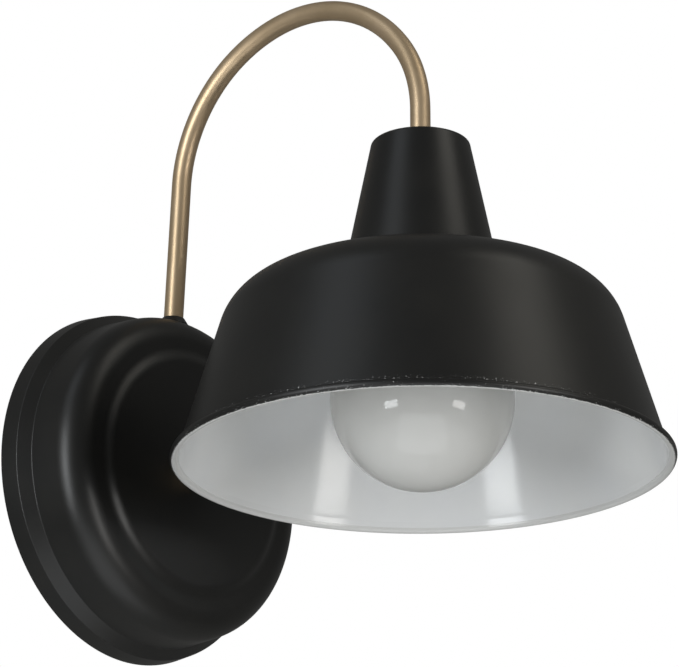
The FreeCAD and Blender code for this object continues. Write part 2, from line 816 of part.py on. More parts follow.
def make_ground():
    """Green ground screw in the strap, with its bare copper lead held under the head."""
    screw = slotted_screw("ground_screw", "ground_shank_radius", "ground_head_radius",
                          "ground_head_height", "0", "strap_thickness + 2 * ground_wire_radius")
    keep("ground_screw", place(screw, ("ground_screw_offset", "0", "0"), angle="90"))
    beside = number("ground_screw_offset + ground_shank_radius + ground_wire_radius + running_gap")
    level = -number("strap_thickness + ground_wire_radius")
    points = [
        (beside, level, -number("ground_wire_tail")),
        (beside, level, number("ground_wire_first_level")),
        (beside + number("ground_wire_second_shift"), level - number("ground_wire_second_lift"),
         number("ground_wire_second_level")),
        (beside + number("ground_wire_end_shift"), level - number("ground_wire_end_lift"),
         number("ground_wire_end_level"))]
    bend = number("ground_wire_bend")
    keep("ground_wire", swept_wire(
        "ground_wire", points, [bend, bend], number("ground_wire_radius")))


# ---------------------------------------------------------------- arm's nuts, washers, bushings

def make_arm_fixings():
    """What clamps each end of the arm: a washer, a hexagon nut and a plastic bushing."""
    neck_seat = ("0", "-reach", "neck_top - rim_drop")
    ends = (("arm_base", "boss_end", "base_thread_end", leg_seat, "leg_lean + 180"),
            ("arm_top", "neck_wall + bracket_thickness", "top_thread_end", neck_seat, "180"))
    for name, washer, flange, seat, angle in ends:
        nut = "(%s + washer_thickness)" % washer
        kept = {
            name + "_washer": ring(name + "_washer_body", "thread_radius + washer_clearance",
                                   "washer_radius", washer, nut),
            name + "_nut": hex_nut(name + "_nut", "nut_width", nut, "nut_thickness",
                                   "thread_radius + running_gap"),
            name + "_bushing": turned(name + "_bushing_body", [
                ("bushing_bore_radius", flange + " - bushing_depth"),
                ("tube_bore_radius - running_gap", flange + " - bushing_depth"),
                ("tube_bore_radius - running_gap", flange),
                ("thread_radius", flange),
                ("thread_radius", flange + " + bushing_flange", "bushing_edge"),
                ("bushing_bore_radius", flange + " + bushing_flange")])}
        for label, piece in kept.items():
            keep(label, place(piece, seat, angle=angle))


# ---------------------------------------------------------------- lampholder

def make_socket_body():
    """Porcelain body: a deep cup open downwards, with passages for rivets and screws."""
    blank = turned("socket_blank", [
        ("shell_bore_radius", "socket_mouth"),
        ("socket_radius", "socket_mouth", "socket_mouth_edge"),
        ("socket_radius", "socket_top", "socket_top_edge"),
        ("0", "socket_top"),
        ("0", "socket_floor"),
        ("shell_bore_radius", "socket_floor")])
    below = "socket_floor - overrun"
    above = "socket_top + overrun"
    pocket_floor = "socket_top - socket_screw_depth - tip_clearance"
    holes = [
        cylinder("contact_passage", "rivet_radius + running_gap", below, above),
        cylinder("shell_passage", "shell_rivet_radius + running_gap", below, above,
                 ("0", "shell_rivet_offset"))]
    for sign in ("", "-"):
        holes.append(cylinder("screw_pocket", "socket_screw_radius + running_gap", pocket_floor,
                              above, (sign + "socket_screw_offset", "0")))
    keep("socket_body", on_lamp(cut("socket_body", blank, holes)))


def make_socket_metal():
    """Brass screw shell with its rivet, and the centre contact with its own."""
    outer = "shell_radius + shell_wall"
    cup = turned("shell_cup", [
        ("shell_radius", "shell_foot"), (outer, "shell_foot"),
        (outer, "shell_floor + shell_wall", "shell_edge"),
        ("shell_hole_radius", "shell_floor + shell_wall"),
        ("shell_hole_radius", "shell_floor"), ("shell_radius", "shell_floor")])
    passage = cylinder("shell_hole", "shell_rivet_radius + running_gap",
                       "shell_floor - overrun", "socket_floor + overrun",
                       ("0", "shell_rivet_offset"))
    keep("socket_shell", on_lamp(cut("socket_shell", cup, [passage])))
    leaf = "socket_floor - contact_thickness"
    keep("center_contact", on_lamp(ring(
        "contact_body", "rivet_radius + running_gap", "contact_radius", leaf, "socket_floor")))
    keep("contact_rivet", on_lamp(rivet(
        "contact_rivet_body", "rivet_radius", "rivet_head_radius", "bulb_top + fit_clearance", leaf)))
    held = rivet("shell_rivet_body", "shell_rivet_radius", "shell_rivet_head_radius",
                 "shell_floor - rivet_head_height", "shell_floor")
    keep("shell_rivet", place(held, ("0", "-reach + shell_rivet_offset", "-rim_drop")))


def rivet(name, shank, head, low, under):
    """A rivet up through the lampholder's body, headed below and over a terminal plate."""
    top = "plate_top + rivet_head_height"
    return turned(name, [
        ("0", low), (head, low, "rivet_edge"), (head, under), (shank, under),
        (shank, "plate_top"), (head, "plate_top"), (head, top, "rivet_edge"), ("0", top)])


def make_terminals():
    """Two terminals on the lampholder's top, each a plate with a bored post and a side screw."""
    terminals = (
        ("live_terminal", "-", "rivet_head_radius + plate_margin", "0", "rivet_radius"),
        ("neutral_terminal", "", "shell_rivet_head_radius + 2 * plate_margin - shell_rivet_offset",
         "shell_rivet_offset", "shell_rivet_radius"))
    screws = []
    for name, sign, past_rivet, rivet_at, rivet_size in terminals:
        post_at = ("0", sign + "post_offset")
        ends = ["-(%s)" % past_rivet, "terminal_end"]
        if sign:
            ends = ["-terminal_end", past_rivet]
        plate = block(name + "_plate", ("-terminal_width / 2", ends[0], "socket_top"),
                      ("terminal_width / 2", ends[1], "plate_top"))
        post = cylinder(name + "_post", "post_radius", "plate_top - post_root", "post_top", post_at)
        turn = "90" if sign else "-90"
        side_hole = cylinder(name + "_side_hole", "terminal_screw_radius + running_gap", "0",
                             "post_radius + overrun")
        place(side_hole, post_at + ("post_screw_level",), angle=turn)
        tools = [side_hole,
                 cylinder(name + "_bore", "lead_radius + running_gap", "plate_top",
                          "post_top + overrun", post_at),
                 cylinder(name + "_passage", rivet_size + " + running_gap", "socket_top - overrun",
                          "plate_top + overrun", ("0", rivet_at))]
        keep(name, on_lamp(cut(name, fused(name + "_blank", [plate, post]), tools)))
        screw = slotted_screw(name + "_screw", "terminal_screw_radius", "terminal_head_radius",
                              "terminal_head_height", "lead_radius + fit_clearance", "post_radius")
        screws.append(place(screw, ("0", "-reach + (%spost_offset)" % sign,
                                    "post_screw_level - rim_drop"), angle=turn))
    keep("terminal_screws", group("terminal_screws", screws))


def make_bracket():
    """Steel bracket that hangs the lampholder from the arm's end, and its two screws."""
    body = new_body("bracket_body")
    sketch = new_sketch(body, "XZ_Plane")
    foot = "socket_top + bracket_thickness"
    under = "neck_ceiling - bracket_thickness"
    bend = "bracket_bend"
    right = [("bracket_foot_end", "socket_top"), ("bracket_foot_end", foot),
             ("bracket_outside", foot),
             ("bracket_outside", "neck_ceiling", "bracket_bend + bracket_thickness")]
    left = [("-" + corner[0],) + corner[1:] for corner in reversed(right)]
    inside = [("-bracket_half_span", "socket_top"), ("-bracket_half_span", under, bend),
              ("bracket_half_span", under, bend), ("bracket_half_span", "socket_top")]
    outline(sketch, right + left + inside)
    pad = body.newObject("PartDesign::Pad", "Pad")
    pad.Profile = sketch
    pad.setExpression("Length", bound("bracket_width"))
    pad.Midplane = True
    holes = [cylinder("thread_hole", "thread_hole_radius", under + " - overrun", "neck_top")]
    screws = []
    for sign in ("", "-"):
        holes.append(cylinder("foot_hole", "socket_screw_radius + fit_clearance",
                              "socket_top - overrun", foot + " + overrun",
                              (sign + "socket_screw_offset", "0")))
        screw = slotted_screw("socket_screw", "socket_screw_radius", "socket_screw_head_radius",
                              "socket_screw_head_height", "socket_top - socket_screw_depth", foot)
        screws.append(place(screw, (sign + "socket_screw_offset", "-reach", "-rim_drop")))
    keep("socket_bracket", on_lamp(cut("socket_bracket", body, holes)))
    keep("socket_screws", group("socket_screws", screws))


# ---------------------------------------------------------------- leads

def rounded_route(points, radii):
    """Edges of a route of straight runs joined by tangent arcs, one radius at each inner point."""
    places = [Vector(*point) for point in points]
    edges = []
    start = places[0]
    for index, radius in enumerate(radii, start=1):
        first, last, centre = corner_arc(places[index - 1], places[index], places[index + 1], radius)
        towards = (places[index] - centre).normalize()
        edges.append(Part.LineSegment(start, first).toShape())
        edges.append(Part.Arc(first, centre + towards * radius, last).toShape())
        start = last
    edges.append(Part.LineSegment(start, places[-1]).toShape())
    return edges


def swept_wire(name, points, radii, radius):
    """A round wire along a route of runs and arcs."""
    return swept_edges(name, rounded_route(points, radii), radius)


def swept_edges(name, edges, radius):
    """A round wire along edges that follow each other smoothly."""
    wire = Part.Wire(edges)
    first = edges[0]
    start = first.Vertexes[0].Point
    direction = first.tangentAt(first.FirstParameter)
    section = Part.Wire([Part.makeCircle(radius, start, direction)])
    wanted = math.pi * radius ** 2 * wire.Length
    solid = wire.makePipeShell([section], True, True)
    print("%s: length %.1f, volume %.1f of %.1f" % (name, wire.Length, solid.Volume, wanted))
    piece = doc.addObject("Part::Feature", name)
    piece.Shape = solid
    return piece


def s_bend(low, high, radius):
    """Corners that join two upright stretches of a lead by two arcs of one radius.

    low and high are where the bend may begin and end; the corners lie above and below them.
    """
    across = math.hypot(high.x - low.x, high.y - low.y)
    rise = high.z - low.z
    spare = 4 * radius - across
    half_tangent = (rise - math.sqrt(rise ** 2 - spare * across)) / spare
    step = UP * (radius * half_tangent)
    return low + step, high - step


def make_leads(bore_route):
    """Live and neutral leads: terminal, neck, the whole arm, canopy and wire connector."""
    arm = Part.sortEdges(bore_route.Shape.Edges)[0]
    post_top = number("post_top - rim_drop")
    tube_end = number("neck_top - rim_drop - top_thread_end - bushing_flange")
    reach = number("reach")
    offset = number("post_offset")
    straight = number("lead_straight")
    connector = Vector(number("lead_spread"), -number("connector_stand_out"),
                       number("connector_level"))
    for name, sign in (("live_lead", -1), ("neutral_lead", 1)):
        side = Vector(sign * number("lead_offset"), 0, 0)
        leg, *bends, drop = [edge.translated(side) for edge in arm]
        foot, leg_top = [vertex.Point for vertex in leg.Vertexes]
        if foot.z > leg_top.z:
            foot, leg_top = leg_top, foot
        arch_end = max((vertex.Point for vertex in drop.Vertexes), key=lambda point: point.z)
        leaving = foot + (foot - leg_top).normalize() * number("lead_exit")
        mouth = Vector(sign * connector.x, connector.y, connector.z)
        turning = mouth + UP * number("lead_exit")
        inside = mouth - UP * number("connector_depth - lead_end_gap")
        radius = number("lead_canopy_bend")
        edges = rounded_route([inside, turning, leaving, leg_top], [radius, radius])
        edges += bends
        post = Vector(0, sign * offset - reach, post_top + straight)
        corners = s_bend(post, Vector(side.x, -reach, tube_end - straight), number("lead_bend"))
        bottom = post - UP * number("post_height")
        edges += rounded_route([arch_end, corners[1], corners[0], bottom],
                               [number("lead_bend"), number("lead_bend")])
        keep(name, swept_edges(name, edges, number("lead_radius")))


def make_connectors():
    """Twist-on connectors at the leads' ends, closed at the bottom."""
    caps = []
    for sign in ("-", ""):
        cap = turned("connector", [
            ("lead_radius + running_gap", "0"),
            ("connector_mouth_radius", "0"),
            ("connector_tip_radius", "-connector_length", "connector_tip_edge"),
            ("0", "-connector_length"),
            ("0", "-connector_depth"),
            ("lead_radius + running_gap", "-connector_depth")])
        caps.append(place(cap, (sign + "lead_spread", "-connector_stand_out", "connector_level")))
    keep("wire_connectors", group("wire_connectors", caps))


# ---------------------------------------------------------------- bulb

def globe_blend(inset):
    """Where the globe's arc meets the arc that blends it into the bulb's neck."""
    across = "(bulb_neck_radius + bulb_blend)"
    along = "(globe_radius + bulb_blend)"
    share = "((globe_radius - %s) / %s)" % (inset, along)
    blend_height = "sqrt(%s ^ 2 - %s ^ 2)" % (along, across)
    return ("(%s * %s)" % (across, share), "(globe_level + %s * %s)" % (blend_height, share),
            "(globe_level + %s)" % blend_height)


def make_globe():
    outer_radius, outer_height, neck_start = globe_blend("0")
    inner_radius, inner_height, _ = globe_blend("globe_wall")
    keep("bulb_globe", on_lamp(turned("globe_body", [
        ("0", "globe_level - globe_radius"),
        (outer_radius, outer_height, "globe_radius", 1),
        ("bulb_neck_radius", neck_start, "bulb_blend", -1),
        ("bulb_neck_radius", "bulb_step", "bulb_step_edge"),
        ("collar_radius", "bulb_step"),
        ("collar_radius", "bulb_foot + collar_height"),
        ("collar_radius - globe_wall", "bulb_foot + collar_height"),
        ("collar_radius - globe_wall", "bulb_step - globe_wall"),
        ("bulb_neck_radius - globe_wall", "bulb_step - globe_wall"),
        ("bulb_neck_radius - globe_wall", neck_start),
        (inner_radius, inner_height, "bulb_blend + globe_wall", 1),
        ("0", "globe_level - globe_radius + globe_wall", "globe_radius - globe_wall", -1)])))


def make_bulb_base():
    """Screw shell, black glass insulator and the tip contact."""
    inner = "bulb_shell_radius - bulb_shell_wall"
    mouth = "bulb_shell_mouth_radius - bulb_shell_wall"
    plug = mouth + " - running_gap"
    root = "bulb_shell_top - insulator_root"
    keep("bulb_shell", on_lamp(turned("bulb_shell_body", [
        (inner, "bulb_foot"), ("bulb_shell_radius", "bulb_foot"),
        ("bulb_shell_radius", "bulb_shell_bend"), ("bulb_shell_mouth_radius", "bulb_shell_top"),
        (mouth, "bulb_shell_top"), (inner, "bulb_shell_bend - 0.5 * bulb_shell_wall")])))
    keep("bulb_insulator", on_lamp(turned("bulb_insulator_body", [
        ("insulator_bore_radius", root), (plug, root),
        (plug, "bulb_shell_top + insulator_lip", "insulator_edge"),
        ("bulb_tip_radius + insulator_ledge", "bulb_insulator_top"),
        ("insulator_bore_radius", "bulb_insulator_top")])))
    keep("bulb_tip_contact", on_lamp(turned("bulb_tip_body", [
        ("0", "bulb_tip_foot"), ("bulb_tip_radius", "bulb_tip_foot"),
        ("bulb_tip_radius", "bulb_top", "bulb_tip_edge"), ("0", "bulb_top")])))


def make_bulb_inside():
    """Glass stem, the two support wires fused into it, and the filament between their ends."""
    supports = []
    reach = number("reach")
    root = number("bulb_foot + support_root - rim_drop")
    bend = number("stem_level + support_rise - rim_drop")
    end = number("filament_level - rim_drop")
    for sign in (-1, 1):
        close = sign * number("support_spacing")
        far = sign * number("filament_ring_radius")
        points = [(close, -reach, root), (close, -reach, bend), (far, -reach, end)]
        supports.append(swept_wire("support_wire", points, [number("support_bend")],
                                   number("support_radius")))
    keep("bulb_support_wires", group("bulb_support_wires", supports))
    flare = "collar_radius - globe_wall - fit_clearance"
    bead = "stem_radius + stem_bead_width"
    bead_top = "stem_level + stem_bead_height"
    bore_top = "bulb_foot - flare_bore_depth"
    blank = on_lamp(turned("stem_blank", [
        ("0", "stem_level"),
        (bead, "stem_level", "stem_bead_edge"),
        (bead, bead_top, "stem_bead_edge"),
        ("stem_radius", bead_top + " + stem_bead_blend"),
        ("stem_radius", "bulb_foot - flare_start"),
        ("stem_radius + flare_middle_width", "bulb_foot - flare_middle"),
        (flare, "bulb_foot + flare_end"),
        (flare, "bulb_foot + flare_end + flare_lip"),
        ("stem_radius + flare_bore_width", bore_top),
        ("0", bore_top)]))
    keep("bulb_stem", cut("bulb_stem", blank, supports))
    loop = doc.addObject("Part::Torus", "filament_ring")
    loop.setExpression("Radius1", bound("filament_ring_radius"))
    loop.setExpression("Radius2", bound("filament_radius"))
    loop.Angle3 = 180
    place(loop, ("0", "-reach", "filament_level - rim_drop"))
    keep("bulb_filament", cut("bulb_filament", loop, supports))


# ---------------------------------------------------------------- checks and files

def check_pieces():
    """Stops if any object failed or any sub-part's shape is missing or invalid."""
    for item in doc.Objects:
        if "Invalid" in item.State or "Error" in item.State:
            raise RuntimeError("%s failed: %s" % (item.Name, item.State))
    for name, item in pieces.items():
        if item.Shape.isNull() or not item.Shape.isValid() or not item.Shape.Solids:
            raise RuntimeError("%s has no valid solid" % name)
        if item.Shape.Volume <= 0:
            raise RuntimeError("%s has no volume" % name)


def write_pieces():
    os.makedirs("parts", exist_ok=True)
    for name, item in pieces.items():
        item.Shape.exportStep(os.path.join("parts", name + ".step"))
    print("%d sub-parts written" % len(pieces))


make_shade()
make_shade_ring()
make_neck()
make_neck_gasket()
arm_bore_route = make_arm()
make_canopy()
make_wall_gasket()
make_strap()
make_nipple_set()
make_ground()
make_arm_fixings()
make_socket_body()
make_socket_metal()
make_terminals()
make_bracket()
make_leads(arm_bore_route)
make_connectors()
make_globe()
make_bulb_base()
make_bulb_inside()
doc.recompute()
check_pieces()
write_pieces()
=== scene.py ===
import math

import bpy
from mathutils import Matrix, Vector


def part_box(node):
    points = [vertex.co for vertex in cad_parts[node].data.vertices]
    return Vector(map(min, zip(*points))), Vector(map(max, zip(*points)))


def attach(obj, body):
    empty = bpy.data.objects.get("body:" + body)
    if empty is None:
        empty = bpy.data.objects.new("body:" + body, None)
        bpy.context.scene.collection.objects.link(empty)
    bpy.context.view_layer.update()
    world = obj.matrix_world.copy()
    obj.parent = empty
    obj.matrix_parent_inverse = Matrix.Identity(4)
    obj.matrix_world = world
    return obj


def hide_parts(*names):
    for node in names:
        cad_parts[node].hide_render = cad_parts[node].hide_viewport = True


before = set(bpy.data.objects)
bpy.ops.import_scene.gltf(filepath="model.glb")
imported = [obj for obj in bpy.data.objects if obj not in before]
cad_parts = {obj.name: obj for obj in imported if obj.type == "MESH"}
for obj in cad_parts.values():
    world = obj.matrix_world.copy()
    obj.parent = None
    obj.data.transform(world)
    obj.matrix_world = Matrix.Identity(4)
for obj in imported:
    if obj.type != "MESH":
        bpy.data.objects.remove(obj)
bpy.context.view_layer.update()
print("frame loaded")


# one wrapped socket, for geometry and shader trees alike
class Link:
    def __init__(self, tree, socket=None):
        self.tree = tree
        self.socket = socket

    def make(self, kind, settings, inputs, output=0):
        node = self.tree.nodes.new(kind)
        for key, value in settings.items():
            if key == "stops":
                fillRamp(node.color_ramp, value)
            else:
                setattr(node, key, value)
        for key, value in inputs.items():
            if isinstance(value, Link):
                self.tree.links.new(value.socket, node.inputs[key])
            else:
                node.inputs[key].default_value = value
        return Link(self.tree, node.outputs[output])

    def maths(self, operation, *others):
        inputs = {0: self}
        inputs.update({index + 1: other for index, other in enumerate(others)})
        return self.make("ShaderNodeMath", {"operation": operation}, inputs)

    def reversedMaths(self, operation, other):
        return self.make("ShaderNodeMath", {"operation": operation}, {0: other, 1: self})

    def __add__(self, other):
        return self.maths("ADD", other)

    def __radd__(self, other):
        return self.maths("ADD", other)

    def __sub__(self, other):
        return self.maths("SUBTRACT", other)

    def __rsub__(self, other):
        return self.reversedMaths("SUBTRACT", other)

    def __mul__(self, other):
        return self.maths("MULTIPLY", other)

    def __rmul__(self, other):
        return self.maths("MULTIPLY", other)

    def __truediv__(self, other):
        return self.maths("DIVIDE", other)

    def __rtruediv__(self, other):
        return self.reversedMaths("DIVIDE", other)

    def between(self, low, high):
        span = (self - low) / (high - low)
        return span.maths("MAXIMUM", 0.0).maths("MINIMUM", 1.0)


def fillRamp(ramp, stops):
    while len(ramp.elements) < len(stops):
        ramp.elements.new(1.0)
    for element, (place, colour) in zip(ramp.elements, stops):
        element.position = place
        element.color = (*colour, 1.0) if len(colour) == 3 else colour


def newTree(name, inputs):
    tree = bpy.data.node_groups.new(name, "GeometryNodeTree")
    tree.interface.new_socket("Geometry", in_out="INPUT", socket_type="NodeSocketGeometry")
    for label, kind in inputs:
        tree.interface.new_socket(label, in_out="INPUT", socket_type="NodeSocket" + kind)
    tree.interface.new_socket("Geometry", in_out="OUTPUT", socket_type="NodeSocketGeometry")
    start = tree.nodes.new("NodeGroupInput")
    ports = {socket.name: Link(tree, socket) for socket in start.outputs if socket.name}
    return tree, ports


def endTree(tree, geometry, finish):
    real = geometry.make("GeometryNodeRealizeInstances", {}, {"Geometry": geometry})
    done = real.make("GeometryNodeSetMaterial", {}, {"Geometry": real, "Material": finish})
    end = tree.nodes.new("NodeGroupOutput")
    tree.links.new(done.socket, end.inputs["Geometry"])


def makeTurningTree():
    # turns a profile (x is the radius, z the height) about Z, with thread, flats and flutes
    tree, ports = newTree("turnOnAxis", [
        ("Around", "Int"), ("Thread depth", "Float"), ("Thread pitch", "Float"),
        ("Thread low", "Float"), ("Thread high", "Float"), ("Flats", "Int"),
        ("Across flats", "Float"), ("Flutes", "Int"), ("Flute depth", "Float"),
        ("Flute above", "Float"), ("Finish", "Material")])
    bench = Link(tree)
    profile = ports["Geometry"]
    around = ports["Around"]
    rows = bench.make("GeometryNodeAttributeDomainSize", {"component": "MESH"},
                      {"Geometry": profile}, "Point Count")
    grid = bench.make("GeometryNodeMeshGrid", {},
                      {"Size X": 1.0, "Size Y": 1.0, "Vertices X": rows, "Vertices Y": around + 1},
                      "Mesh")
    index = bench.make("GeometryNodeInputIndex", {}, {})
    column = index.maths("MODULO", around + 1)
    row = ((index + 0.5) / (around + 1)).maths("FLOOR")
    position = bench.make("GeometryNodeInputPosition", {}, {})
    point = bench.make("GeometryNodeSampleIndex", {"data_type": "FLOAT_VECTOR", "domain": "POINT"},
                       {"Geometry": profile, "Value": position, "Index": row})
    radius = bench.make("ShaderNodeSeparateXYZ", {}, {0: point}, "X")
    height = bench.make("ShaderNodeSeparateXYZ", {}, {0: point}, "Z")
    turn = column / around
    angle = turn * (2 * math.pi)
    pitch = ports["Thread pitch"]
    inThread = (((height - ports["Thread low"]) / pitch).between(0.0, 0.7)
                * ((ports["Thread high"] - height) / pitch).between(0.0, 0.7))
    wave = ((height / pitch - turn) * (2 * math.pi)).maths("COSINE")
    radius = radius + wave * inThread * ports["Thread depth"]
    sector = 2 * math.pi / ports["Flats"]
    local = (angle + sector / 2).maths("MODULO", sector) - sector / 2
    radius = radius.maths("MINIMUM", ports["Across flats"] / 2 / local.maths("COSINE"))
    fluted = ((radius - ports["Flute above"]) * 2000).between(0.0, 1.0)
    radius = radius + (angle * ports["Flutes"]).maths("COSINE") * ports["Flute depth"] * fluted
    place = bench.make("ShaderNodeCombineXYZ", {}, {
        "X": radius * angle.maths("COSINE"), "Y": radius * angle.maths("SINE"), "Z": height})
    shaped = bench.make("GeometryNodeSetPosition", {}, {"Geometry": grid, "Position": place})
    merged = bench.make("GeometryNodeMergeByDistance", {}, {"Geometry": shaped, "Distance": 2e-7})
    endTree(tree, merged, ports["Finish"])
    return tree


def makeBarTree():
    # a round bar along a polyline
    tree, ports = newTree("barOnPath", [("Radius", "Float"), ("Sides", "Int"),
                                        ("Finish", "Material")])
    bench = Link(tree)
    path = bench.make("GeometryNodeMeshToCurve", {}, {"Mesh": ports["Geometry"]})
    section = bench.make("GeometryNodeCurvePrimitiveCircle", {"mode": "RADIUS"},
                         {"Resolution": ports["Sides"], "Radius": ports["Radius"]})
    bar = bench.make("GeometryNodeCurveToMesh", {}, {
        "Curve": path, "Profile Curve": section, "Fill Caps": True})
    merged = bench.make("GeometryNodeMergeByDistance", {}, {"Geometry": bar, "Distance": 2e-7})
    endTree(tree, merged, ports["Finish"])
    return tree


turningTree = makeTurningTree()
barTree = makeBarTree()


def runTree(tree, points, closed, values):
    # evaluates a tree on a polyline and gives back the plain mesh
    mesh = bpy.data.meshes.new("line")
    edges = [(index, index + 1) for index in range(len(points) - 1)]
    mesh.from_pydata(points + ([points[0]] if closed else []),
                     edges + ([(len(points) - 1, len(points))] if closed else []), [])
    carrier = bpy.data.objects.new("line", mesh)
    bpy.context.scene.collection.objects.link(carrier)
    modifier = carrier.modifiers.new("shape", "NODES")
    modifier.node_group = tree
    names = {item.name: item.identifier for item in tree.interface.items_tree
             if item.in_out == "INPUT"}
    for label, value in values.items():
        modifier[names[label]] = value
    bpy.context.view_layer.update()
    graph = bpy.context.evaluated_depsgraph_get()
    result = bpy.data.meshes.new_from_object(carrier.evaluated_get(graph), depsgraph=graph)
    bpy.data.objects.remove(carrier)
    bpy.data.meshes.remove(mesh)
    return result


def facesOutward(mesh):
    # the signed volume tells which way a closed mesh faces
    volume = 0.0
    for polygon in mesh.polygons:
        corners = [mesh.vertices[index].co for index in polygon.vertices]
        for second, third in zip(corners[1:-1], corners[2:]):
            volume += corners[0].dot(second.cross(third))
    return volume > 0


def addPiece(name, mesh, nodes, body="root", sharpAngle=40):
    if not facesOutward(mesh):
        mesh.flip_normals()
    mesh.shade_smooth()
    mesh.set_sharp_from_angle(angle=math.radians(sharpAngle))
    mesh.name = name
    piece = bpy.data.objects.new(name, mesh)
    bpy.context.scene.collection.objects.link(piece)
    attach(piece, body)
    if nodes:
        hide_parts(*nodes)


# profiles are in millimetres until they are turned
def roundCorners(corners, closed=True, step=7.0):
    # corners are (radius, height) or (radius, height, fillet)
    points = []
    count = len(corners)
    for index, corner in enumerate(corners):
        here = Vector(corner[:2])
        fillet = corner[2] if len(corner) > 2 else 0.0
        inside = closed or 0 < index < count - 1
        if fillet <= 0 or not inside:
            points.append(here)
            continue
        back = (Vector(corners[index - 1][:2]) - here).normalized()
        ahead = (Vector(corners[(index + 1) % count][:2]) - here).normalized()
        half = back.angle(ahead) / 2
        trim = fillet / math.tan(half)
        centre = here + (back + ahead).normalized() * (fillet / math.sin(half))
        points += arcPoints(centre, here + back * trim, here + ahead * trim, step)
    return points


def arcPoints(centre, start, end, step=7.0):
    # the shorter way round from start to end
    first = start - centre
    turn = first.angle_signed(end - centre)
    steps = max(2, math.ceil(abs(math.degrees(turn)) / step))
    return [centre + Matrix.Rotation(-turn * index / steps, 2) @ first
            for index in range(steps + 1)]


def longArc(centre, radius, start, end, step=7.0):
    # angles in degrees, either way round
    steps = max(2, math.ceil(abs(end - start) / step))
    angles = [math.radians(start + (end - start) * index / steps) for index in range(steps + 1)]
    return [centre + Vector((math.cos(angle), math.sin(angle))) * radius for angle in angles]


def threadShape(depth, pitch, low, high):
    return {"Thread depth": depth / 1000, "Thread pitch": pitch / 1000,
            "Thread low": low / 1000, "Thread high": high / 1000}


def tube(radius, levels):
    return [Vector((radius, level)) for level in levels]


def turned(points, finish, place, around=96, closed=True, shape=None):
    values = {"Around": around, "Thread depth": 0.0, "Thread pitch": 1.0, "Thread low": 0.0,
              "Thread high": 0.0, "Flats": 6, "Across flats": 10.0, "Flutes": 1,
              "Flute depth": 0.0, "Flute above": 10.0, "Finish": finish}
    values.update(shape or {})
    line = [(point[0] / 1000, 0.0, point[1] / 1000) for point in points]
    mesh = runTree(turningTree, line, closed, values)
    mesh.transform(place)
    return mesh


shadeLow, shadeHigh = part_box("shade")
reach = -(shadeLow.y + shadeHigh.y) / 2
rimRadius = (shadeHigh.x - shadeLow.x) * 500
onLamp = Matrix.Translation((0.0, -reach, shadeLow.z))
onWall = Matrix.Rotation(math.radians(90), 4, "X")


def startFinish(name):
    material = bpy.data.materials.new(name)
    material.use_nodes = True
    material.node_tree.nodes.clear()
    bench = Link(material.node_tree)
    place = bench.make("ShaderNodeTexCoord", {}, {}, "Object")
    return material, bench, place


def endFinish(material, bench, colour, roughness, normal, values):
    # values hold what is the same all over the surface
    inputs = {"Base Color": colour, "Roughness": roughness, "Normal": normal}
    inputs.update(values)
    shader = bench.make("ShaderNodeBsdfPrincipled", {}, inputs)
    end = material.node_tree.nodes.new("ShaderNodeOutputMaterial")
    material.node_tree.links.new(shader.socket, end.inputs["Surface"])
    return material


def cloud(bench, place, grain, detail=3.0, rough=0.55):
    # grain is the size of one patch in millimetres
    return bench.make("ShaderNodeTexNoise", {}, {
        "Vector": place, "Scale": 1000 / grain, "Detail": detail, "Roughness": rough}, "Fac")


def blend(bench, share, first, second):
    def colour(value):
        return value if isinstance(value, Link) else (*value, 1.0)
    return bench.make("ShaderNodeMix", {"data_type": "RGBA"}, {
        "Factor": share, 6: colour(first), 7: colour(second)}, 2)


def relief(bench, height, depth):
    # depth is in millimetres
    return bench.make("ShaderNodeBump", {}, {
        "Height": height, "Distance": depth / 1000, "Strength": 1.0})


def plainFinish(name, look):
    # the lesser pieces' finish: patches of two tints, uneven gloss and a fine grain
    material, bench, place = startFinish(name)
    patches = cloud(bench, place, look.get("patch", 8.0))
    grain = cloud(bench, place, look.get("grain", 0.4), 4.0)
    colour = blend(bench, patches.between(0.3, 0.7), look["first"], look["second"])
    low, high = look["gloss"]
    roughness = low + (high - low) * grain.between(0.25, 0.75)
    height = grain
    if look.get("cells"):
        cells = bench.make("ShaderNodeTexVoronoi", {"feature": "F1"}, {
            "Vector": place, "Scale": 1000 / look["cells"]}, "Distance")
        height = cells + grain * 0.3
        colour = blend(bench, cells.between(0.0, 0.9), colour, look["second"])
    values = {"Metallic": look.get("metal", 0.0), "IOR": 1.5}
    values.update(look.get("values", {}))
    return endFinish(material, bench, colour, roughness,
                     relief(bench, height, look.get("depth", 0.01)), values)


blackLook = {
    "black": (0.0062, 0.0062, 0.006), "olive": (0.0085, 0.0082, 0.0072),
    "patch": 38.0, "grain": 0.5, "grainDepth": 0.008,
    "glossLow": 0.34, "glossHigh": 0.42, "ior": 1.47,
    "chipColour": (0.7, 0.7, 0.69), "chipSize": 0.7, "chipRough": 0.7, "chipFade": 0.115,
    "whiteFrom": 0.1, "ragged": 1.1,
}


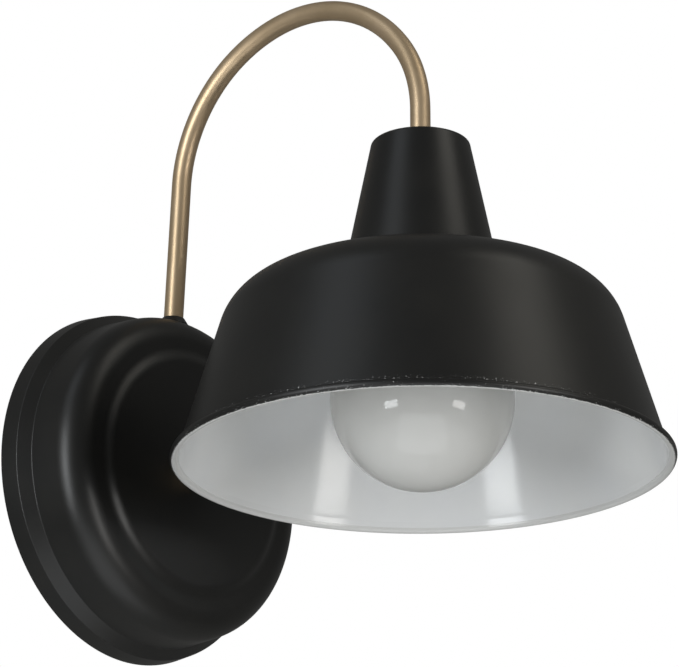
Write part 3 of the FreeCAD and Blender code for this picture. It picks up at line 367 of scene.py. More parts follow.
def makeBlack(name, chipped=False):
    material, bench, place = startFinish(name)
    patches = cloud(bench, place, blackLook["patch"])
    grain = cloud(bench, place, blackLook["grain"], 2.0)
    colour = blend(bench, patches.between(0.35, 0.65), blackLook["black"], blackLook["olive"])
    low, high = blackLook["glossLow"], blackLook["glossHigh"]
    roughness = low + (high - low) * (0.7 * patches + 0.3 * grain).between(0.3, 0.7)
    height = grain
    if chipped:
        # the black ends raggedly on the rolled rim, where the white enamel comes round
        east = bench.make("ShaderNodeSeparateXYZ", {}, {0: place}, "X")
        north = bench.make("ShaderNodeSeparateXYZ", {}, {0: place}, "Y")
        level = bench.make("ShaderNodeSeparateXYZ", {}, {0: place}, "Z")
        out = (east * east + (north + reach) * (north + reach)).maths("SQRT")
        across = (out - (rimRadius - shade["bead"]) / 1000) * (1000 / shade["bead"])
        above = (level - shadeLow.z) * (1000 / shade["bead"]) - 1.0
        flecks = cloud(bench, place, blackLook["chipSize"], 3.0, blackLook["chipRough"])
        inward = -0.8 * across - 0.6 * above
        onBead = (2.4 - above).between(0.0, 0.3)
        edge = (inward - blackLook["whiteFrom"]) + (flecks - 0.5) * blackLook["ragged"]
        white = edge.between(0.0, 0.12) * onBead
        thinned = flecks - blackLook["chipFade"] * (1.0 - inward)
        chips = thinned.between(0.5, 0.53) * onBead
        bare = white.maths("MAXIMUM", chips)
        colour = blend(bench, bare, colour, blackLook["chipColour"])
        roughness = roughness - white * 0.2
        height = grain - bare * 0.8
    return endFinish(material, bench, colour, roughness,
                     relief(bench, height, blackLook["grainDepth"]),
                     {"IOR": blackLook["ior"]})


enamelLook = {
    "white": (0.82, 0.825, 0.82), "cool": (0.79, 0.80, 0.81), "patch": 45.0,
    "glossLow": 0.10, "glossHigh": 0.17, "wave": 14.0, "waveDepth": 0.05,
    "peel": 1.6, "peelDepth": 0.006, "ior": 1.52,
}


def makeEnamel():
    material, bench, place = startFinish("whiteEnamel")
    patches = cloud(bench, place, enamelLook["patch"])
    wave = cloud(bench, place, enamelLook["wave"], 1.0)
    peel = cloud(bench, place, enamelLook["peel"], 2.0)
    colour = blend(bench, patches.between(0.35, 0.65), enamelLook["white"], enamelLook["cool"])
    low, high = enamelLook["glossLow"], enamelLook["glossHigh"]
    height = wave * enamelLook["waveDepth"] + peel * enamelLook["peelDepth"]
    return endFinish(material, bench, colour, low + (high - low) * patches,
                     relief(bench, height, 1.0), {"IOR": enamelLook["ior"]})


goldLook = {
    "gold": (0.66, 0.50, 0.325), "tan": (0.56, 0.415, 0.255), "patch": 18.0,
    "flake": 0.16, "glossLow": 0.36, "glossHigh": 0.46, "flakeDepth": 0.004,
    "flakeColour": (0.75, 0.68, 0.55), "flakeShare": 0.35, "metal": 0.8,
}


def makeGold():
    material, bench, place = startFinish("antiqueGold")
    patches = cloud(bench, place, goldLook["patch"])
    flake = cloud(bench, place, goldLook["flake"], 2.0)
    colour = blend(bench, patches.between(0.3, 0.7), goldLook["gold"], goldLook["tan"])
    colour = blend(bench, flake.between(0.55, 0.8) * goldLook["flakeShare"],
                   colour, goldLook["flakeColour"])
    low, high = goldLook["glossLow"], goldLook["glossHigh"]
    return endFinish(material, bench, colour, low + (high - low) * flake.between(0.3, 0.7),
                     relief(bench, flake + patches * 0.3, goldLook["flakeDepth"]),
                     {"Metallic": goldLook["metal"], "IOR": 1.5})


opalLook = {
    "glass": (0.71, 0.71, 0.69), "milk": (0.68, 0.68, 0.66), "patch": 22.0,
    "glossLow": 0.05, "glossHigh": 0.09, "wave": 26.0, "waveDepth": 0.03,
}


def makeOpal():
    material, bench, place = startFinish("opalGlass")
    patches = cloud(bench, place, opalLook["patch"], 2.0)
    wave = cloud(bench, place, opalLook["wave"], 1.0)
    colour = blend(bench, patches.between(0.35, 0.65), opalLook["glass"], opalLook["milk"])
    low, high = opalLook["glossLow"], opalLook["glossHigh"]
    return endFinish(material, bench, colour, low + (high - low) * patches,
                     relief(bench, wave, opalLook["waveDepth"]), {"IOR": 1.5})


finishLooks = {
    "foam": {"first": (0.045, 0.045, 0.047), "second": (0.02, 0.02, 0.021), "patch": 1.2,
             "cells": 0.9, "depth": 0.3, "gloss": (0.85, 0.97), "grain": 0.5},
    "blackRubber": {"first": (0.018, 0.018, 0.018), "second": (0.028, 0.027, 0.026),
                    "gloss": (0.5, 0.65), "depth": 0.02},
    "zincSteel": {"first": (0.55, 0.57, 0.6), "second": (0.68, 0.69, 0.7), "metal": 1.0,
                  "patch": 3.5, "cells": 4.0, "depth": 0.01, "gloss": (0.28, 0.42)},
    "greenScrew": {"first": (0.03, 0.26, 0.09), "second": (0.05, 0.34, 0.12), "metal": 0.6,
                   "patch": 2.0, "gloss": (0.3, 0.45)},
    "copper": {"first": (0.72, 0.33, 0.2), "second": (0.55, 0.24, 0.14), "metal": 1.0,
               "patch": 5.0, "gloss": (0.25, 0.4)},
    "nylon": {"first": (0.75, 0.74, 0.7), "second": (0.68, 0.67, 0.62), "gloss": (0.35, 0.5)},
    "porcelain": {"first": (0.8, 0.79, 0.75), "second": (0.73, 0.72, 0.67), "patch": 5.0,
                  "gloss": (0.12, 0.25), "grain": 0.9, "depth": 0.015},
    "brass": {"first": (0.72, 0.52, 0.22), "second": (0.6, 0.42, 0.17), "metal": 1.0,
              "patch": 6.0, "gloss": (0.2, 0.34)},
    "blackInsulation": {"first": (0.02, 0.02, 0.021), "second": (0.03, 0.03, 0.031),
                        "gloss": (0.35, 0.48), "patch": 4.0, "depth": 0.01},
    "whiteInsulation": {"first": (0.74, 0.74, 0.71), "second": (0.66, 0.655, 0.62),
                        "gloss": (0.35, 0.48), "patch": 4.0, "depth": 0.01},
    "connectorPlastic": {"first": (0.62, 0.17, 0.03), "second": (0.53, 0.13, 0.02),
                         "gloss": (0.32, 0.45), "patch": 3.0},
    "bulbAluminium": {"first": (0.76, 0.77, 0.78), "second": (0.66, 0.67, 0.68), "metal": 1.0,
                      "gloss": (0.18, 0.3), "patch": 4.0},
    "blackGlass": {"first": (0.012, 0.012, 0.014), "second": (0.03, 0.028, 0.03),
                   "gloss": (0.06, 0.14), "patch": 2.0},
    "solder": {"first": (0.6, 0.61, 0.62), "second": (0.48, 0.49, 0.5), "metal": 1.0,
               "gloss": (0.25, 0.5), "patch": 1.5, "grain": 1.0, "depth": 0.06},
    "clearGlass": {"first": (0.93, 0.95, 0.95), "second": (0.88, 0.91, 0.91),
                   "gloss": (0.02, 0.06), "values": {"Transmission Weight": 0.9}},
    "nickelWire": {"first": (0.6, 0.58, 0.55), "second": (0.5, 0.48, 0.45), "metal": 1.0,
                   "gloss": (0.25, 0.4)},
    "tungsten": {"first": (0.25, 0.25, 0.26), "second": (0.35, 0.35, 0.36), "metal": 1.0,
                 "gloss": (0.35, 0.5)},
}


# the paint on the rolled rim follows these sizes too
shade = {"bead": 1.66, "skirtAngle": 16.6, "topSlope": 12.4, "shoulder": 24.7, "seat": 32.4,
         "metal": 0.78, "liningStart": 0.8, "wall": 1.0, "hole": 19.3, "liningGap": 0.03,
         "ringRadius": 26.0, "ringThickness": 3.5, "ringHole": 19.1, "around": 240,
         "skirtLevels": (8.0, 6.0, 4.5, 3.6), "innerEnd": 6.0, "liningFoot": 1.2}
seatHeight = (shadeHigh.z - shadeLow.z) * 1000
skirtTan = math.tan(math.radians(shade["skirtAngle"]))
skirtCos = math.cos(math.radians(shade["skirtAngle"]))
topTan = math.tan(math.radians(shade["topSlope"]))
topCos = math.cos(math.radians(shade["topSlope"]))
skirtFoot = (rimRadius - 1.5 * shade["bead"], 0.6 * shade["bead"])


def skirtRadius(height, inset):
    return skirtFoot[0] - inset / skirtCos - (height - skirtFoot[1]) * skirtTan


def shadeSide(inset):
    # from the hole out over the top to the shoulder's corner
    top = seatHeight - inset / topCos
    foot = skirtRadius(skirtFoot[1], inset)
    corner = foot - skirtTan * (top - skirtFoot[1] + shade["seat"] * topTan)
    corner /= 1 - skirtTan * topTan
    height = top - (corner - shade["seat"]) * topTan
    seatEdge = shade["seat"] + (inset - inset / topCos) / topTan
    return [(shade["hole"], seatHeight - inset), (seatEdge, seatHeight - inset),
            (corner, height, shade["shoulder"] - inset)]


def beadCrossing(inset):
    # where the skirt's line meets the rolled bead, as an angle about the bead's centre
    angle = math.pi / 2
    for _ in range(6):
        height = shade["bead"] * (1 + math.sin(angle))
        offset = skirtRadius(height, inset) - (rimRadius - shade["bead"])
        angle = math.acos(max(-1.0, min(1.0, offset / shade["bead"])))
    return math.degrees(angle)


def makeShade():
    bead = Vector((rimRadius - shade["bead"], shade["bead"]))
    first, *others = [(skirtRadius(height, 0.0), height) for height in shade["skirtLevels"]]
    outside = roundCorners(shadeSide(0.0) + [first], closed=False, step=3.0)
    down = [Vector(spot) for spot in others]
    start = beadCrossing(0.0)
    end = beadCrossing(shade["metal"]) - 360
    roll = longArc(bead, shade["bead"], start, end, 12.0)
    level = shade["innerEnd"]
    inside = roundCorners(shadeSide(shade["metal"])
                          + [(skirtRadius(level, shade["metal"]), level)],
                          closed=False, step=3.0)
    points = outside + down + roll + inside[::-1]
    mesh = turned(points, finishes["chippedBlack"], onLamp, shade["around"])
    addPiece("shade", mesh, ["shade"], sharpAngle=50)
    foot = shade["liningFoot"] * shade["bead"]
    start = shade["liningStart"]
    outer = roundCorners(shadeSide(start) + [(skirtRadius(foot, start), foot)],
                         closed=False, step=3.0)
    inner = roundCorners(shadeSide(shade["wall"])
                         + [(skirtRadius(level, shade["wall"]), level)],
                         closed=False, step=3.0)
    inner.append(Vector((rimRadius - 2 * shade["bead"] - shade["liningGap"], foot)))
    mesh = turned(outer + inner[::-1], finishes["whiteEnamel"], onLamp, shade["around"])
    addPiece("shadeLining", mesh, [])
    low = seatHeight - shade["wall"] - shade["ringThickness"]
    ring = roundCorners([(shade["ringHole"], low, 0.5), (shade["ringRadius"], low, 1.0),
                         (shade["ringRadius"], low + shade["ringThickness"]),
                         (shade["ringHole"], low + shade["ringThickness"])], step=15.0)
    mesh = turned(ring, finishes["porcelain"], onLamp)
    addPiece("shadeRing", mesh, ["shade_ring"])


neck = {"base": 31.8, "top": 20.4, "edge": 1.8, "wall": 1.0, "lip": 25.0, "hole": 4.1,
        "gasketInset": 0.6, "foldRadius": 0.35}


def makeNeck():
    low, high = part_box("neck")
    base = (low.z - shadeLow.z) * 1000
    top = (high.z - shadeLow.z) * 1000
    slope = (neck["base"] - neck["top"]) / (top - base)
    wall = neck["wall"]
    inset = wall * math.sqrt(1 + slope ** 2)
    inner = [neck["base"] - inset - slope * (height - base)
             for height in (base + wall, top - wall)]
    points = roundCorners([
        (neck["lip"], base, 0.3), (neck["base"], base, neck["foldRadius"]),
        (neck["top"], top, neck["edge"]), (neck["hole"], top), (neck["hole"], top - wall),
        (inner[1], top - wall, neck["edge"] - wall), (inner[0], base + wall),
        (neck["lip"], base + wall)], step=6.0)
    mesh = turned(points, finishes["satinBlack"], onLamp, around=160)
    addPiece("neck", mesh, ["neck"])
    low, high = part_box("neck_gasket")
    foot, head = ((value - shadeLow.z) * 1000 for value in (low.z, high.z))
    first, last = neck["lip"] + neck["gasketInset"], neck["base"] - neck["gasketInset"]
    points = roundCorners([(first, foot), (last, foot, 0.25), (last, head, 0.25), (first, head)])
    mesh = turned(points, finishes["blackRubber"], onLamp)
    addPiece("neckGasket", mesh, ["neck_gasket"])


arm = {"radius": 4.25, "threadRadius": 4.0, "threadBore": 3.1, "legReach": 27.7, "lean": 3.25,
       "rearRadius": 63.4, "rearTurn": 57.7, "crownTurn": 84.5, "frontRadius": 55.0,
       "frontDrop": 15.6, "bossLevel": 73.2, "threadPast": 12.8, "topThread": 9.0,
       "sides": 64}


def armLine():
    # the centre line in (depth towards the wall, height), millimetres
    lean, rear = math.radians(arm["lean"]), math.radians(arm["lean"] + arm["rearTurn"])
    front = rear + math.radians(arm["crownTurn"])
    span = (reach * 1000 - arm["legReach"] - arm["rearRadius"] * (math.cos(lean) - math.cos(rear))
            - arm["frontRadius"] * (1 + math.cos(front)))
    crown = span / (math.cos(rear) - math.cos(front))
    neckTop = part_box("neck")[1].z * 1000
    rise = (arm["rearRadius"] * (math.sin(rear) - math.sin(lean))
            + crown * (math.sin(front) - math.sin(rear)) - arm["frontRadius"] * math.sin(front))
    point = Vector((-arm["legReach"], neckTop + arm["frontDrop"] - rise))
    leg = (point.y - arm["bossLevel"]) / math.cos(lean)
    foot = point - Vector((-math.sin(lean), math.cos(lean))) * leg
    points = [foot + (point - foot) * share for share in (0.0, 0.25, 0.5, 0.75)]
    heading = lean
    for radius, turn in ((arm["rearRadius"], rear - lean), (crown, front - rear),
                         (arm["frontRadius"], math.pi - front)):
        centre = point - Vector((math.cos(heading), math.sin(heading))) * radius
        points += longArc(centre, radius, math.degrees(heading), math.degrees(heading + turn),
                          1.5)[:-1]
        heading += turn
        point = centre + Vector((math.cos(heading), math.sin(heading))) * radius
    end = Vector((point.x, neckTop))
    points += [point + (end - point) * share for share in (0.0, 0.5, 1.0)]
    return points


def makeBar(points, radius, sides, finish):
    line = [tuple(value / 1000 for value in point) for point in points]
    return runTree(barTree, line, False,
                   {"Radius": radius / 1000, "Sides": sides, "Finish": finish})


def makeArm():
    line = [(0.0, point.x, point.y) for point in armLine()]
    mesh = makeBar(line, arm["radius"], arm["sides"], finishes["antiqueGold"])
    addPiece("armTube", mesh, ["arm_tube"], sharpAngle=60)


canopy = {"flange": 76.5, "flangeFront": 75.7, "flangeDepth": 8.3, "edge": 0.9, "dome": 71.4,
          "domeStart": 13.0, "taper": 3.5, "shoulder": 12.2, "face": 37.8, "stepRadius": 53.5,
          "stepWidth": 3.5, "rise": 1.8, "stepRound": 7.6, "wall": 0.9, "hole": 5.35,
          "bossRadius": 6.6, "bossTop": 4.7, "bossHeight": 2.8, "bossInside": 3.2,
          "bossHole": 4.1}


def canopySide(inset):
    def domeRadius(depth):
        slope = math.tan(math.radians(canopy["taper"]))
        return (canopy["dome"] - (depth - canopy["domeStart"]) * slope
                - inset / math.cos(math.radians(canopy["taper"])))
    face = canopy["face"] - inset
    plateau = face + canopy["rise"]
    foot = canopy["domeStart"] - 0.5 * inset
    return [
        (canopy["flange"] - inset, 0.0),
        (canopy["flangeFront"] - inset, canopy["flangeDepth"] - 0.5 * inset, canopy["edge"]),
        (domeRadius(foot), foot, canopy["edge"]),
        (domeRadius(face), face, canopy["shoulder"] - inset),
        (canopy["stepRadius"] - 0.5 * inset, face, canopy["stepRound"]),
        (canopy["stepRadius"] - canopy["stepWidth"] - 0.5 * inset, plateau, canopy["stepRound"]),
        (canopy["hole"], plateau)]


def makeCanopy():
    points = roundCorners(canopySide(0.0) + canopySide(canopy["wall"])[::-1], step=5.0)
    mesh = turned(points, finishes["satinBlack"], onWall, around=220)
    addPiece("canopy", mesh, ["canopy"], sharpAngle=50)
    foot = armLine()[0]
    lean = Matrix.Rotation(math.radians(arm["lean"]), 4, "X")
    place = Matrix.Translation((0.0, foot.x / 1000, foot.y / 1000)) @ lean
    low = -canopy["bossHeight"] - canopy["bossInside"]
    points = roundCorners([(canopy["bossHole"], low), (canopy["bossRadius"], low, 0.4),
                           (canopy["bossRadius"], -canopy["bossHeight"], 0.8),
                           (canopy["bossTop"], 0.0, 0.3), (canopy["bossHole"], 0.0)],
                          step=12.0)
    mesh = turned(points, finishes["satinBlack"], place, around=64)
    addPiece("armBoss", mesh, [])


bulb = {"radius": 37.4, "centre": 27.5, "blend": 12.0, "neck": 14.6, "step": 70.8,
        "plugRadius": 12.6, "plugLength": 4.4, "shellFoot": 71.2, "shellRadius": 12.55,
        "shellWall": 0.3, "shellTop": 93.4, "mouthRadius": 10.8, "threadDepth": 0.45,
        "pitch": 3.629, "levelStep": 0.3, "levels": 64, "threadStart": 1.6,
        "insulatorRadius": 10.4, "insulatorSunk": 1.0, "insulatorTop": 5.3, "insulatorRise": 3.3,
        "tipRadius": 4.8, "tipTop": 4.3, "tipGap": 0.05, "tipEdge": 4.4, "tipRise": 4.6}


def makeBulb():
    across = bulb["neck"] + bulb["blend"]
    along = bulb["radius"] + bulb["blend"]
    climb = math.degrees(math.acos(across / along))
    middle = Vector((0.0, bulb["centre"]))
    blendCentre = Vector((across, bulb["centre"] + math.sqrt(along ** 2 - across ** 2)))
    points = longArc(middle, bulb["radius"], -90, climb, 3.0)
    points += longArc(blendCentre, bulb["blend"], climb + 180, 180, 6.0)[1:]
    step, plug, top = bulb["step"], bulb["plugRadius"], bulb["step"] + bulb["plugLength"]
    points += roundCorners([(bulb["neck"], step - 5), (bulb["neck"], step, 1.0), (plug, step),
                            (plug, top), (0.0, top)], closed=False)
    mesh = turned(points, finishes["opalGlass"], onLamp, around=160, closed=False)
    addPiece("bulbGlobe", mesh, ["bulb_globe"], "bulb")


def ringPoints(inner, outer, low, high, edge=0.2):
    return roundCorners([(inner, low), (outer, low, edge), (outer, high, edge), (inner, high)],
                        step=30.0)


def makeBulbBase():
    levels = [bulb["shellFoot"] + index * bulb["levelStep"] for index in range(bulb["levels"])]
    outside = tube(bulb["shellRadius"], levels)
    inside = tube(bulb["shellRadius"] - bulb["shellWall"], levels)
    taper = [Vector((bulb["mouthRadius"], bulb["shellTop"])),
             Vector((bulb["mouthRadius"] - bulb["shellWall"], bulb["shellTop"]))]
    shape = threadShape(bulb["threadDepth"], bulb["pitch"],
                        bulb["shellFoot"] + bulb["threadStart"], levels[-1])
    mesh = turned(outside + taper + inside[::-1], finishes["bulbAluminium"], onLamp, shape=shape)
    addPiece("bulbShell", mesh, ["bulb_shell"], "bulb", 60)
    low = bulb["shellTop"]
    wide = bulb["insulatorRadius"]
    sunk, top = low - bulb["insulatorSunk"], low + bulb["insulatorRise"]
    points = roundCorners([(0.0, sunk), (wide, sunk), (wide, low + 0.3, 0.2),
                           (bulb["insulatorTop"], top, 0.4), (0.0, top)], closed=False)
    mesh = turned(points, finishes["blackGlass"], onLamp, closed=False)
    addPiece("bulbInsulator", mesh, ["bulb_insulator"], "bulb")
    foot = top + bulb["tipGap"]
    points = roundCorners([(0.0, foot), (bulb["tipRadius"], foot, 0.3),
                           (bulb["tipTop"], low + bulb["tipEdge"], 0.6),
                           (0.0, low + bulb["tipRise"])], closed=False)
    mesh = turned(points, finishes["solder"], onLamp, closed=False)
    addPiece("bulbTip", mesh, ["bulb_tip_contact"], "bulb_screwing")


holder = {"radius": 19.0, "mouth": 71.5, "top": 109.0, "floor": 102.0, "bore": 13.75,
          "mouthEdge": 1.0, "topEdge": 1.2, "shellRadius": 13.05, "shellWall": 0.3,
          "shellFoot": 73.0, "shellTop": 101.5, "hole": 7.0, "threadDepth": 0.35,
          "levelStep": 0.3, "levels": 93, "threadStart": 1.5, "threadShort": 6.0}


def makeHolder():
    points = roundCorners([(holder["bore"], holder["mouth"]),
                           (holder["radius"], holder["mouth"], holder["mouthEdge"]),
                           (holder["radius"], holder["top"], holder["topEdge"]),
                           (0.0, holder["top"]), (0.0, holder["floor"]),
                           (holder["bore"], holder["floor"])], step=12.0)
    mesh = turned(points, finishes["porcelain"], onLamp)
    addPiece("socketBody", mesh, ["socket_body"])
    levels = [holder["shellFoot"] + index * holder["levelStep"]
              for index in range(holder["levels"])]
    outside = tube(holder["shellRadius"] + holder["shellWall"], levels)
    inside = tube(holder["shellRadius"], levels)
    top = holder["shellTop"]
    floor = [Vector((holder["hole"], top)), Vector((holder["hole"], top - holder["shellWall"]))]
    shape = threadShape(holder["threadDepth"], bulb["pitch"],
                        holder["shellFoot"] + holder["threadStart"],
                        levels[-1] - holder["threadShort"])
    mesh = turned(outside + floor + inside[::-1], finishes["brass"], onLamp, shape=shape)
    addPiece("socketShell", mesh, ["socket_shell"], sharpAngle=60)


# nuts, washers, threads and bushings at the arm's two ends
fixing = {"washer": (4.2, 7.6, 0.8), "nutWidth": 13.0, "nutHeight": 4.0, "nutBore": 4.05,
          "bushingBore": 2.3, "bushingDepth": 5.0, "bushingFlange": 1.0, "bushingRadius": 3.05,
          "flangeRadius": 4.0, "baseStart": 6.0, "topStart": 2.2, "pitch": 0.94,
          "threadDepth": 0.12, "levelStep": 0.12, "chamfer": 0.45, "faceInset": 0.2}


def hexNut(low, high, width, bore, place):
    # the corners are chamfered, and the flats cut the round to a hexagon
    corner = width / 2 / math.cos(math.radians(30))
    drop = fixing["chamfer"] * (corner - width / 2)
    face = width / 2 - fixing["faceInset"]
    points = roundCorners([(bore, low), (face, low), (corner, low + drop), (corner, high - drop),
                           (face, high), (bore, high)])
    return turned(points, finishes["zincSteel"], place, 144,
                  shape={"Flats": 6, "Across flats": width / 1000})


def threadedPipe(radius, bore, length, sizes, place, finish, around):
    count = int(length / sizes["levelStep"]) + 1
    levels = [index * sizes["levelStep"] for index in range(count)]
    points = ([Vector((bore, 0.0))] + tube(radius - sizes["threadDepth"], levels)
              + [Vector((bore, levels[-1]))])
    shape = threadShape(sizes["threadDepth"], sizes["pitch"], 0.0, levels[-1])
    return turned(points, finish, place, around, shape=shape)


def makeFixings():
    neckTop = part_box("neck")[1].z * 1000
    foot = armLine()[0]
    over = Matrix.Rotation(math.pi, 4, "X")
    lean = Matrix.Rotation(math.radians(arm["lean"]), 4, "X")
    ends = (("armBase", "arm_base", (0.0, foot.x, foot.y), lean @ over,
             fixing["baseStart"], arm["threadPast"]),
            ("armTop", "arm_top", (0.0, -reach * 1000, neckTop), over,
             fixing["topStart"], arm["topThread"]))
    for name, node, spot, turn, washer, threadEnd in ends:
        place = Matrix.Translation(Vector(spot) / 1000) @ turn
        inner, outer, height = fixing["washer"]
        mesh = turned(ringPoints(inner, outer, washer, washer + height), finishes["zincSteel"],
                      place, 64)
        addPiece(name + "Washer", mesh, [node + "_washer"])
        low = washer + height
        mesh = hexNut(low, low + fixing["nutHeight"], fixing["nutWidth"], fixing["nutBore"],
                      place)
        addPiece(name + "Nut", mesh, [node + "_nut"], sharpAngle=25)
        mesh = threadedPipe(arm["threadRadius"], arm["threadBore"], threadEnd, fixing, place,
                            finishes["antiqueGold"], 48)
        addPiece(name + "Thread", mesh, [], sharpAngle=60)
        flange = threadEnd + fixing["bushingFlange"]
        foot = threadEnd - fixing["bushingDepth"]
        bore, sleeve = fixing["bushingBore"], fixing["bushingRadius"]
        rim = fixing["flangeRadius"]
        points = roundCorners([(bore, foot), (sleeve, foot), (sleeve, threadEnd),
                               (rim, threadEnd), (rim, flange, 0.4), (bore, flange, 0.3)],
                              step=20.0)
        mesh = turned(points, finishes["nylon"], place, 64)
        addPiece(name + "Bushing", mesh, [node + "_bushing"])


# what fixes the canopy to the wall
mount = {"nipple": 5.05, "bore": 3.2, "nippleEnd": 47.6, "pitch": 0.94, "threadDepth": 0.16,
         "levelStep": 0.12, "lockNut": (2.5, 5.5, 14.0), "washer": (5.25, 9.0, 39.6, 40.6),
         "nutBore": 5.1, "capNut": 8.2, "capLength": 11.0, "collar": 3.0, "waist": 1.4,
         "crownRadius": 4.5, "boreEnd": 48.1, "knurls": 44, "knurlDepth": 0.1,
         "gasket": (67.2, 75.2, 3.0)}


def makeMount():
    mesh = threadedPipe(mount["nipple"], mount["bore"], mount["nippleEnd"], mount, onWall,
                        finishes["zincSteel"], 64)
    addPiece("centerNipple", mesh, ["center_nipple"], sharpAngle=60)
    low, high, width = mount["lockNut"]
    mesh = hexNut(low, high, width, mount["nutBore"], onWall)
    addPiece("strapLockNut", mesh, ["strap_lock_nut"], sharpAngle=25)
    inner, outer, low, high = mount["washer"]
    mesh = turned(ringPoints(inner, outer, low, high, 0.3), finishes["blackRubber"], onWall)
    addPiece("capWasher", mesh, ["cap_washer"])
    radius, end = mount["capNut"] - mount["knurlDepth"], high + mount["capLength"]
    waist, bore, collar = radius - mount["waist"], mount["nutBore"], high + mount["collar"]
    points = roundCorners([(bore, high), (radius, high, 0.4), (radius, collar, 0.8),
                           (waist, collar + 0.6, 0.5), (waist, end, mount["crownRadius"]),
                           (0.0, end), (0.0, mount["boreEnd"]), (bore, mount["boreEnd"])],
                          step=9.0)
    mesh = turned(points, finishes["antiqueGold"], onWall, 6 * mount["knurls"], shape={
        "Flutes": mount["knurls"], "Flute depth": mount["knurlDepth"] / 1000,
        "Flute above": (radius - 0.6) / 1000})
    addPiece("capNut", mesh, ["cap_nut"], sharpAngle=60)
    inner, outer, depth = mount["gasket"]
    mesh = turned(ringPoints(inner, outer, 0.0, depth, 0.5), finishes["foam"], onWall, 160)
    addPiece("wallGasket", mesh, ["wall_gasket"])


connector = {"across": 20.0, "out": 20.0, "level": 14.0, "mouth": 5.6, "shoulder": 5.5,
             "tip": 3.6, "length": 22.0, "bore": 0.95, "boreDepth": 9.0, "ribs": 14,
             "ribDepth": 0.28, "ribsAbove": 2.2}


def makeConnectors():
    rib, bore, deep = connector["ribDepth"], connector["bore"], -connector["boreDepth"]
    mouth, shoulder, tip = (connector[key] - rib for key in ("mouth", "shoulder", "tip"))
    points = roundCorners([(bore, 0.0), (mouth, 0.0, 0.4), (shoulder, -3.0),
                           (tip, -connector["length"], 1.2), (0.0, -connector["length"]),
                           (0.0, deep), (bore, deep)])
    shape = {"Flutes": connector["ribs"], "Flute depth": rib / 1000,
             "Flute above": connector["ribsAbove"] / 1000}
    for side, name in ((-1, "leftConnector"), (1, "rightConnector")):
        spot = (side * connector["across"], -connector["out"], connector["level"])
        mesh = turned(points, finishes["connectorPlastic"],
                      Matrix.Translation(Vector(spot) / 1000), 12 * connector["ribs"],
                      shape=shape)
        addPiece(name, mesh, ["wire_connectors"] if side < 0 else [],
                 sharpAngle=50)


finishes = {name: plainFinish(name, look) for name, look in finishLooks.items()}
finishes["satinBlack"] = makeBlack("satinBlack")
finishes["chippedBlack"] = makeBlack("chippedBlack", chipped=True)
finishes["whiteEnamel"] = makeEnamel()
finishes["antiqueGold"] = makeGold()
finishes["opalGlass"] = makeOpal()
print("finishes made")

makeShade()
makeNeck()
makeArm()
makeCanopy()
makeBulb()
print("main pieces made")
makeBulbBase()
makeHolder()
makeFixings()
makeMount()
makeConnectors()
print("fittings made")

# the CAD nodes that stay in sight get their finish
nodeFinishes = {
    "zincSteel": ["mounting_strap", "socket_bracket", "socket_screws", "terminal_screws"],
    "greenScrew": ["ground_screw"], "copper": ["ground_wire"],
    "brass": ["center_contact", "contact_rivet", "shell_rivet", "live_terminal",
              "neutral_terminal"],
    "blackInsulation": ["live_lead"], "whiteInsulation": ["neutral_lead"],
    "clearGlass": ["bulb_stem"], "nickelWire": ["bulb_support_wires"],
    "tungsten": ["bulb_filament"]}
for finishName, nodes in nodeFinishes.items():
    for node in nodes:
        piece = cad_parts[node]
        piece.data.materials.clear()
        piece.data.materials.append(finishes[finishName])

studio = {"floorDrop": 1.4, "floorSize": 30.0, "lightsOut": 0.6, "lightsLevel": 0.03,
          "cameraTurn": -48.68, "cameraTilt": -19.28, "cameraRoll": 0.04,
          "distance": 1.371, "lens": 181.4, "aimRight": -0.0335, "aimUp": -0.0527,
          "room": [(0.0, (0.42, 0.435, 0.45)), (0.38, (0.3, 0.305, 0.31)),
                   (0.52, (0.155, 0.155, 0.15)), (1.0, (0.16, 0.16, 0.155))]}


def makeFloor():
    mesh = bpy.data.meshes.new("floor")
    half, level = studio["floorSize"] / 2, -studio["floorDrop"]
    mesh.from_pydata([(-half, -half, level), (half, -half, level), (half, half, level),
                      (-half, half, level)], [], [(0, 1, 2, 3)])
    floor = bpy.data.objects.new("floor", mesh)
    bpy.context.scene.collection.objects.link(floor)
    floor.data.materials.append(plainFinish("paleFloor", {
        "first": (0.82, 0.82, 0.81), "second": (0.78, 0.78, 0.77), "patch": 400.0,
        "gloss": (0.6, 0.75), "grain": 5.0, "depth": 0.1}))


def towards(turn, tilt):
    # from the object, at a turn round it and a tilt above the horizon
    turn, tilt = math.radians(turn), math.radians(tilt)
    flat = math.cos(tilt)
    return Vector((math.sin(turn) * flat, -math.cos(turn) * flat, math.sin(tilt)))


def makeCamera():
    data = bpy.data.cameras.new("camera")
    data.sensor_width = 36.0
    data.lens = studio["lens"]
    camera = bpy.data.objects.new("camera", data)
    bpy.context.scene.collection.objects.link(camera)
    back = towards(studio["cameraTurn"], studio["cameraTilt"])
    turn = (-back).to_track_quat("-Z", "Y").to_matrix().to_4x4()
    roll = Matrix.Rotation(math.radians(studio["cameraRoll"]), 4, "Z")
    rimCentre = Vector((0.0, -reach, shadeLow.z))
    right, up = turn.col[0].to_3d(), turn.col[1].to_3d()
    spot = (rimCentre + back * studio["distance"]
            + right * studio["aimRight"] - up * studio["aimUp"])
    camera.matrix_world = Matrix.Translation(spot) @ turn @ roll
    data.clip_start, data.clip_end = 0.05, 100.0
    bpy.context.scene.camera = camera


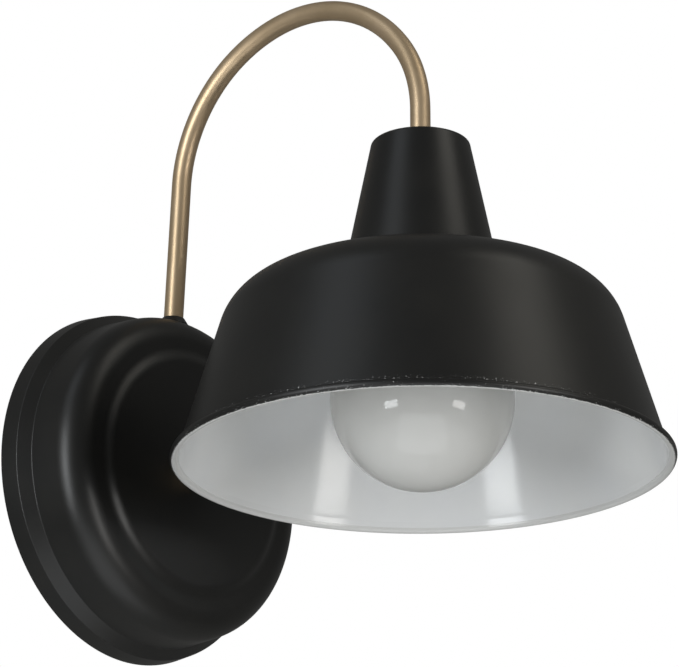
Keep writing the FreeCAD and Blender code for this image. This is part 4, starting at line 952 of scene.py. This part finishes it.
# turn is counted round the object from the camera's side, size is width and height in metres
lights = {
    "leftTall": {"turn": -41.0, "tilt": 0.0, "distance": 2.0, "size": (0.62, 1.7),
                 "watts": 24.0, "colour": (0.95, 0.98, 1.0)},
    "rightTall": {"turn": 47.0, "tilt": -4.0, "distance": 2.0, "size": (0.55, 1.3),
                  "watts": 13.0, "colour": (1.0, 0.985, 0.96)},
    "below": {"turn": 0.0, "tilt": -62.0, "distance": 1.3, "size": (1.3, 1.3),
              "watts": 4.5, "colour": (0.95, 0.975, 1.0)},
    "leftHigh": {"turn": -52.0, "tilt": 50.0, "distance": 2.0, "size": (0.8, 1.0),
                 "watts": 2.2, "colour": (0.86, 0.93, 1.0)},
    "rightHigh": {"turn": 64.0, "tilt": 48.0, "distance": 2.0, "size": (0.8, 1.0),
                  "watts": 4.2, "colour": (1.0, 0.97, 0.88)},
}


def makeLights():
    middle = Vector((0.0, -reach * studio["lightsOut"], studio["lightsLevel"]))
    for name, light in lights.items():
        data = bpy.data.lights.new(name, "AREA")
        data.shape = "RECTANGLE"
        data.size, data.size_y = light["size"]
        data.energy = light["watts"]
        data.color = light["colour"]
        lamp = bpy.data.objects.new(name, data)
        bpy.context.scene.collection.objects.link(lamp)
        way = towards(studio["cameraTurn"] + light["turn"], light["tilt"])
        lamp.location = middle + way * light["distance"]
        lamp.rotation_mode = "QUATERNION"
        lamp.rotation_quaternion = (-way).to_track_quat("-Z", "Y")


def makeSurround():
    # white behind the object, a soft grey room in its reflections, brighter below
    world = bpy.data.worlds.new("studio")
    world.use_nodes = True
    world.node_tree.nodes.clear()
    bench = Link(world.node_tree)
    way = bench.make("ShaderNodeTexCoord", {}, {}, "Generated")
    level = bench.make("ShaderNodeSeparateXYZ", {}, {0: way}, "Z")
    room = bench.make("ShaderNodeValToRGB", {"stops": studio["room"]},
                      {0: level * 0.5 + 0.5}, "Color")
    seen = bench.make("ShaderNodeLightPath", {}, {}, "Is Camera Ray")
    colour = blend(bench, seen, room, (1.0, 1.0, 1.0))
    background = bench.make("ShaderNodeBackground", {}, {"Color": colour, "Strength": 1.0})
    end = world.node_tree.nodes.new("ShaderNodeOutputWorld")
    world.node_tree.links.new(background.socket, end.inputs["Surface"])
    bpy.context.scene.world = world


makeFloor()
makeCamera()
makeLights()
makeSurround()
bpy.context.scene.view_settings.view_transform = "Standard"
print("studio made")
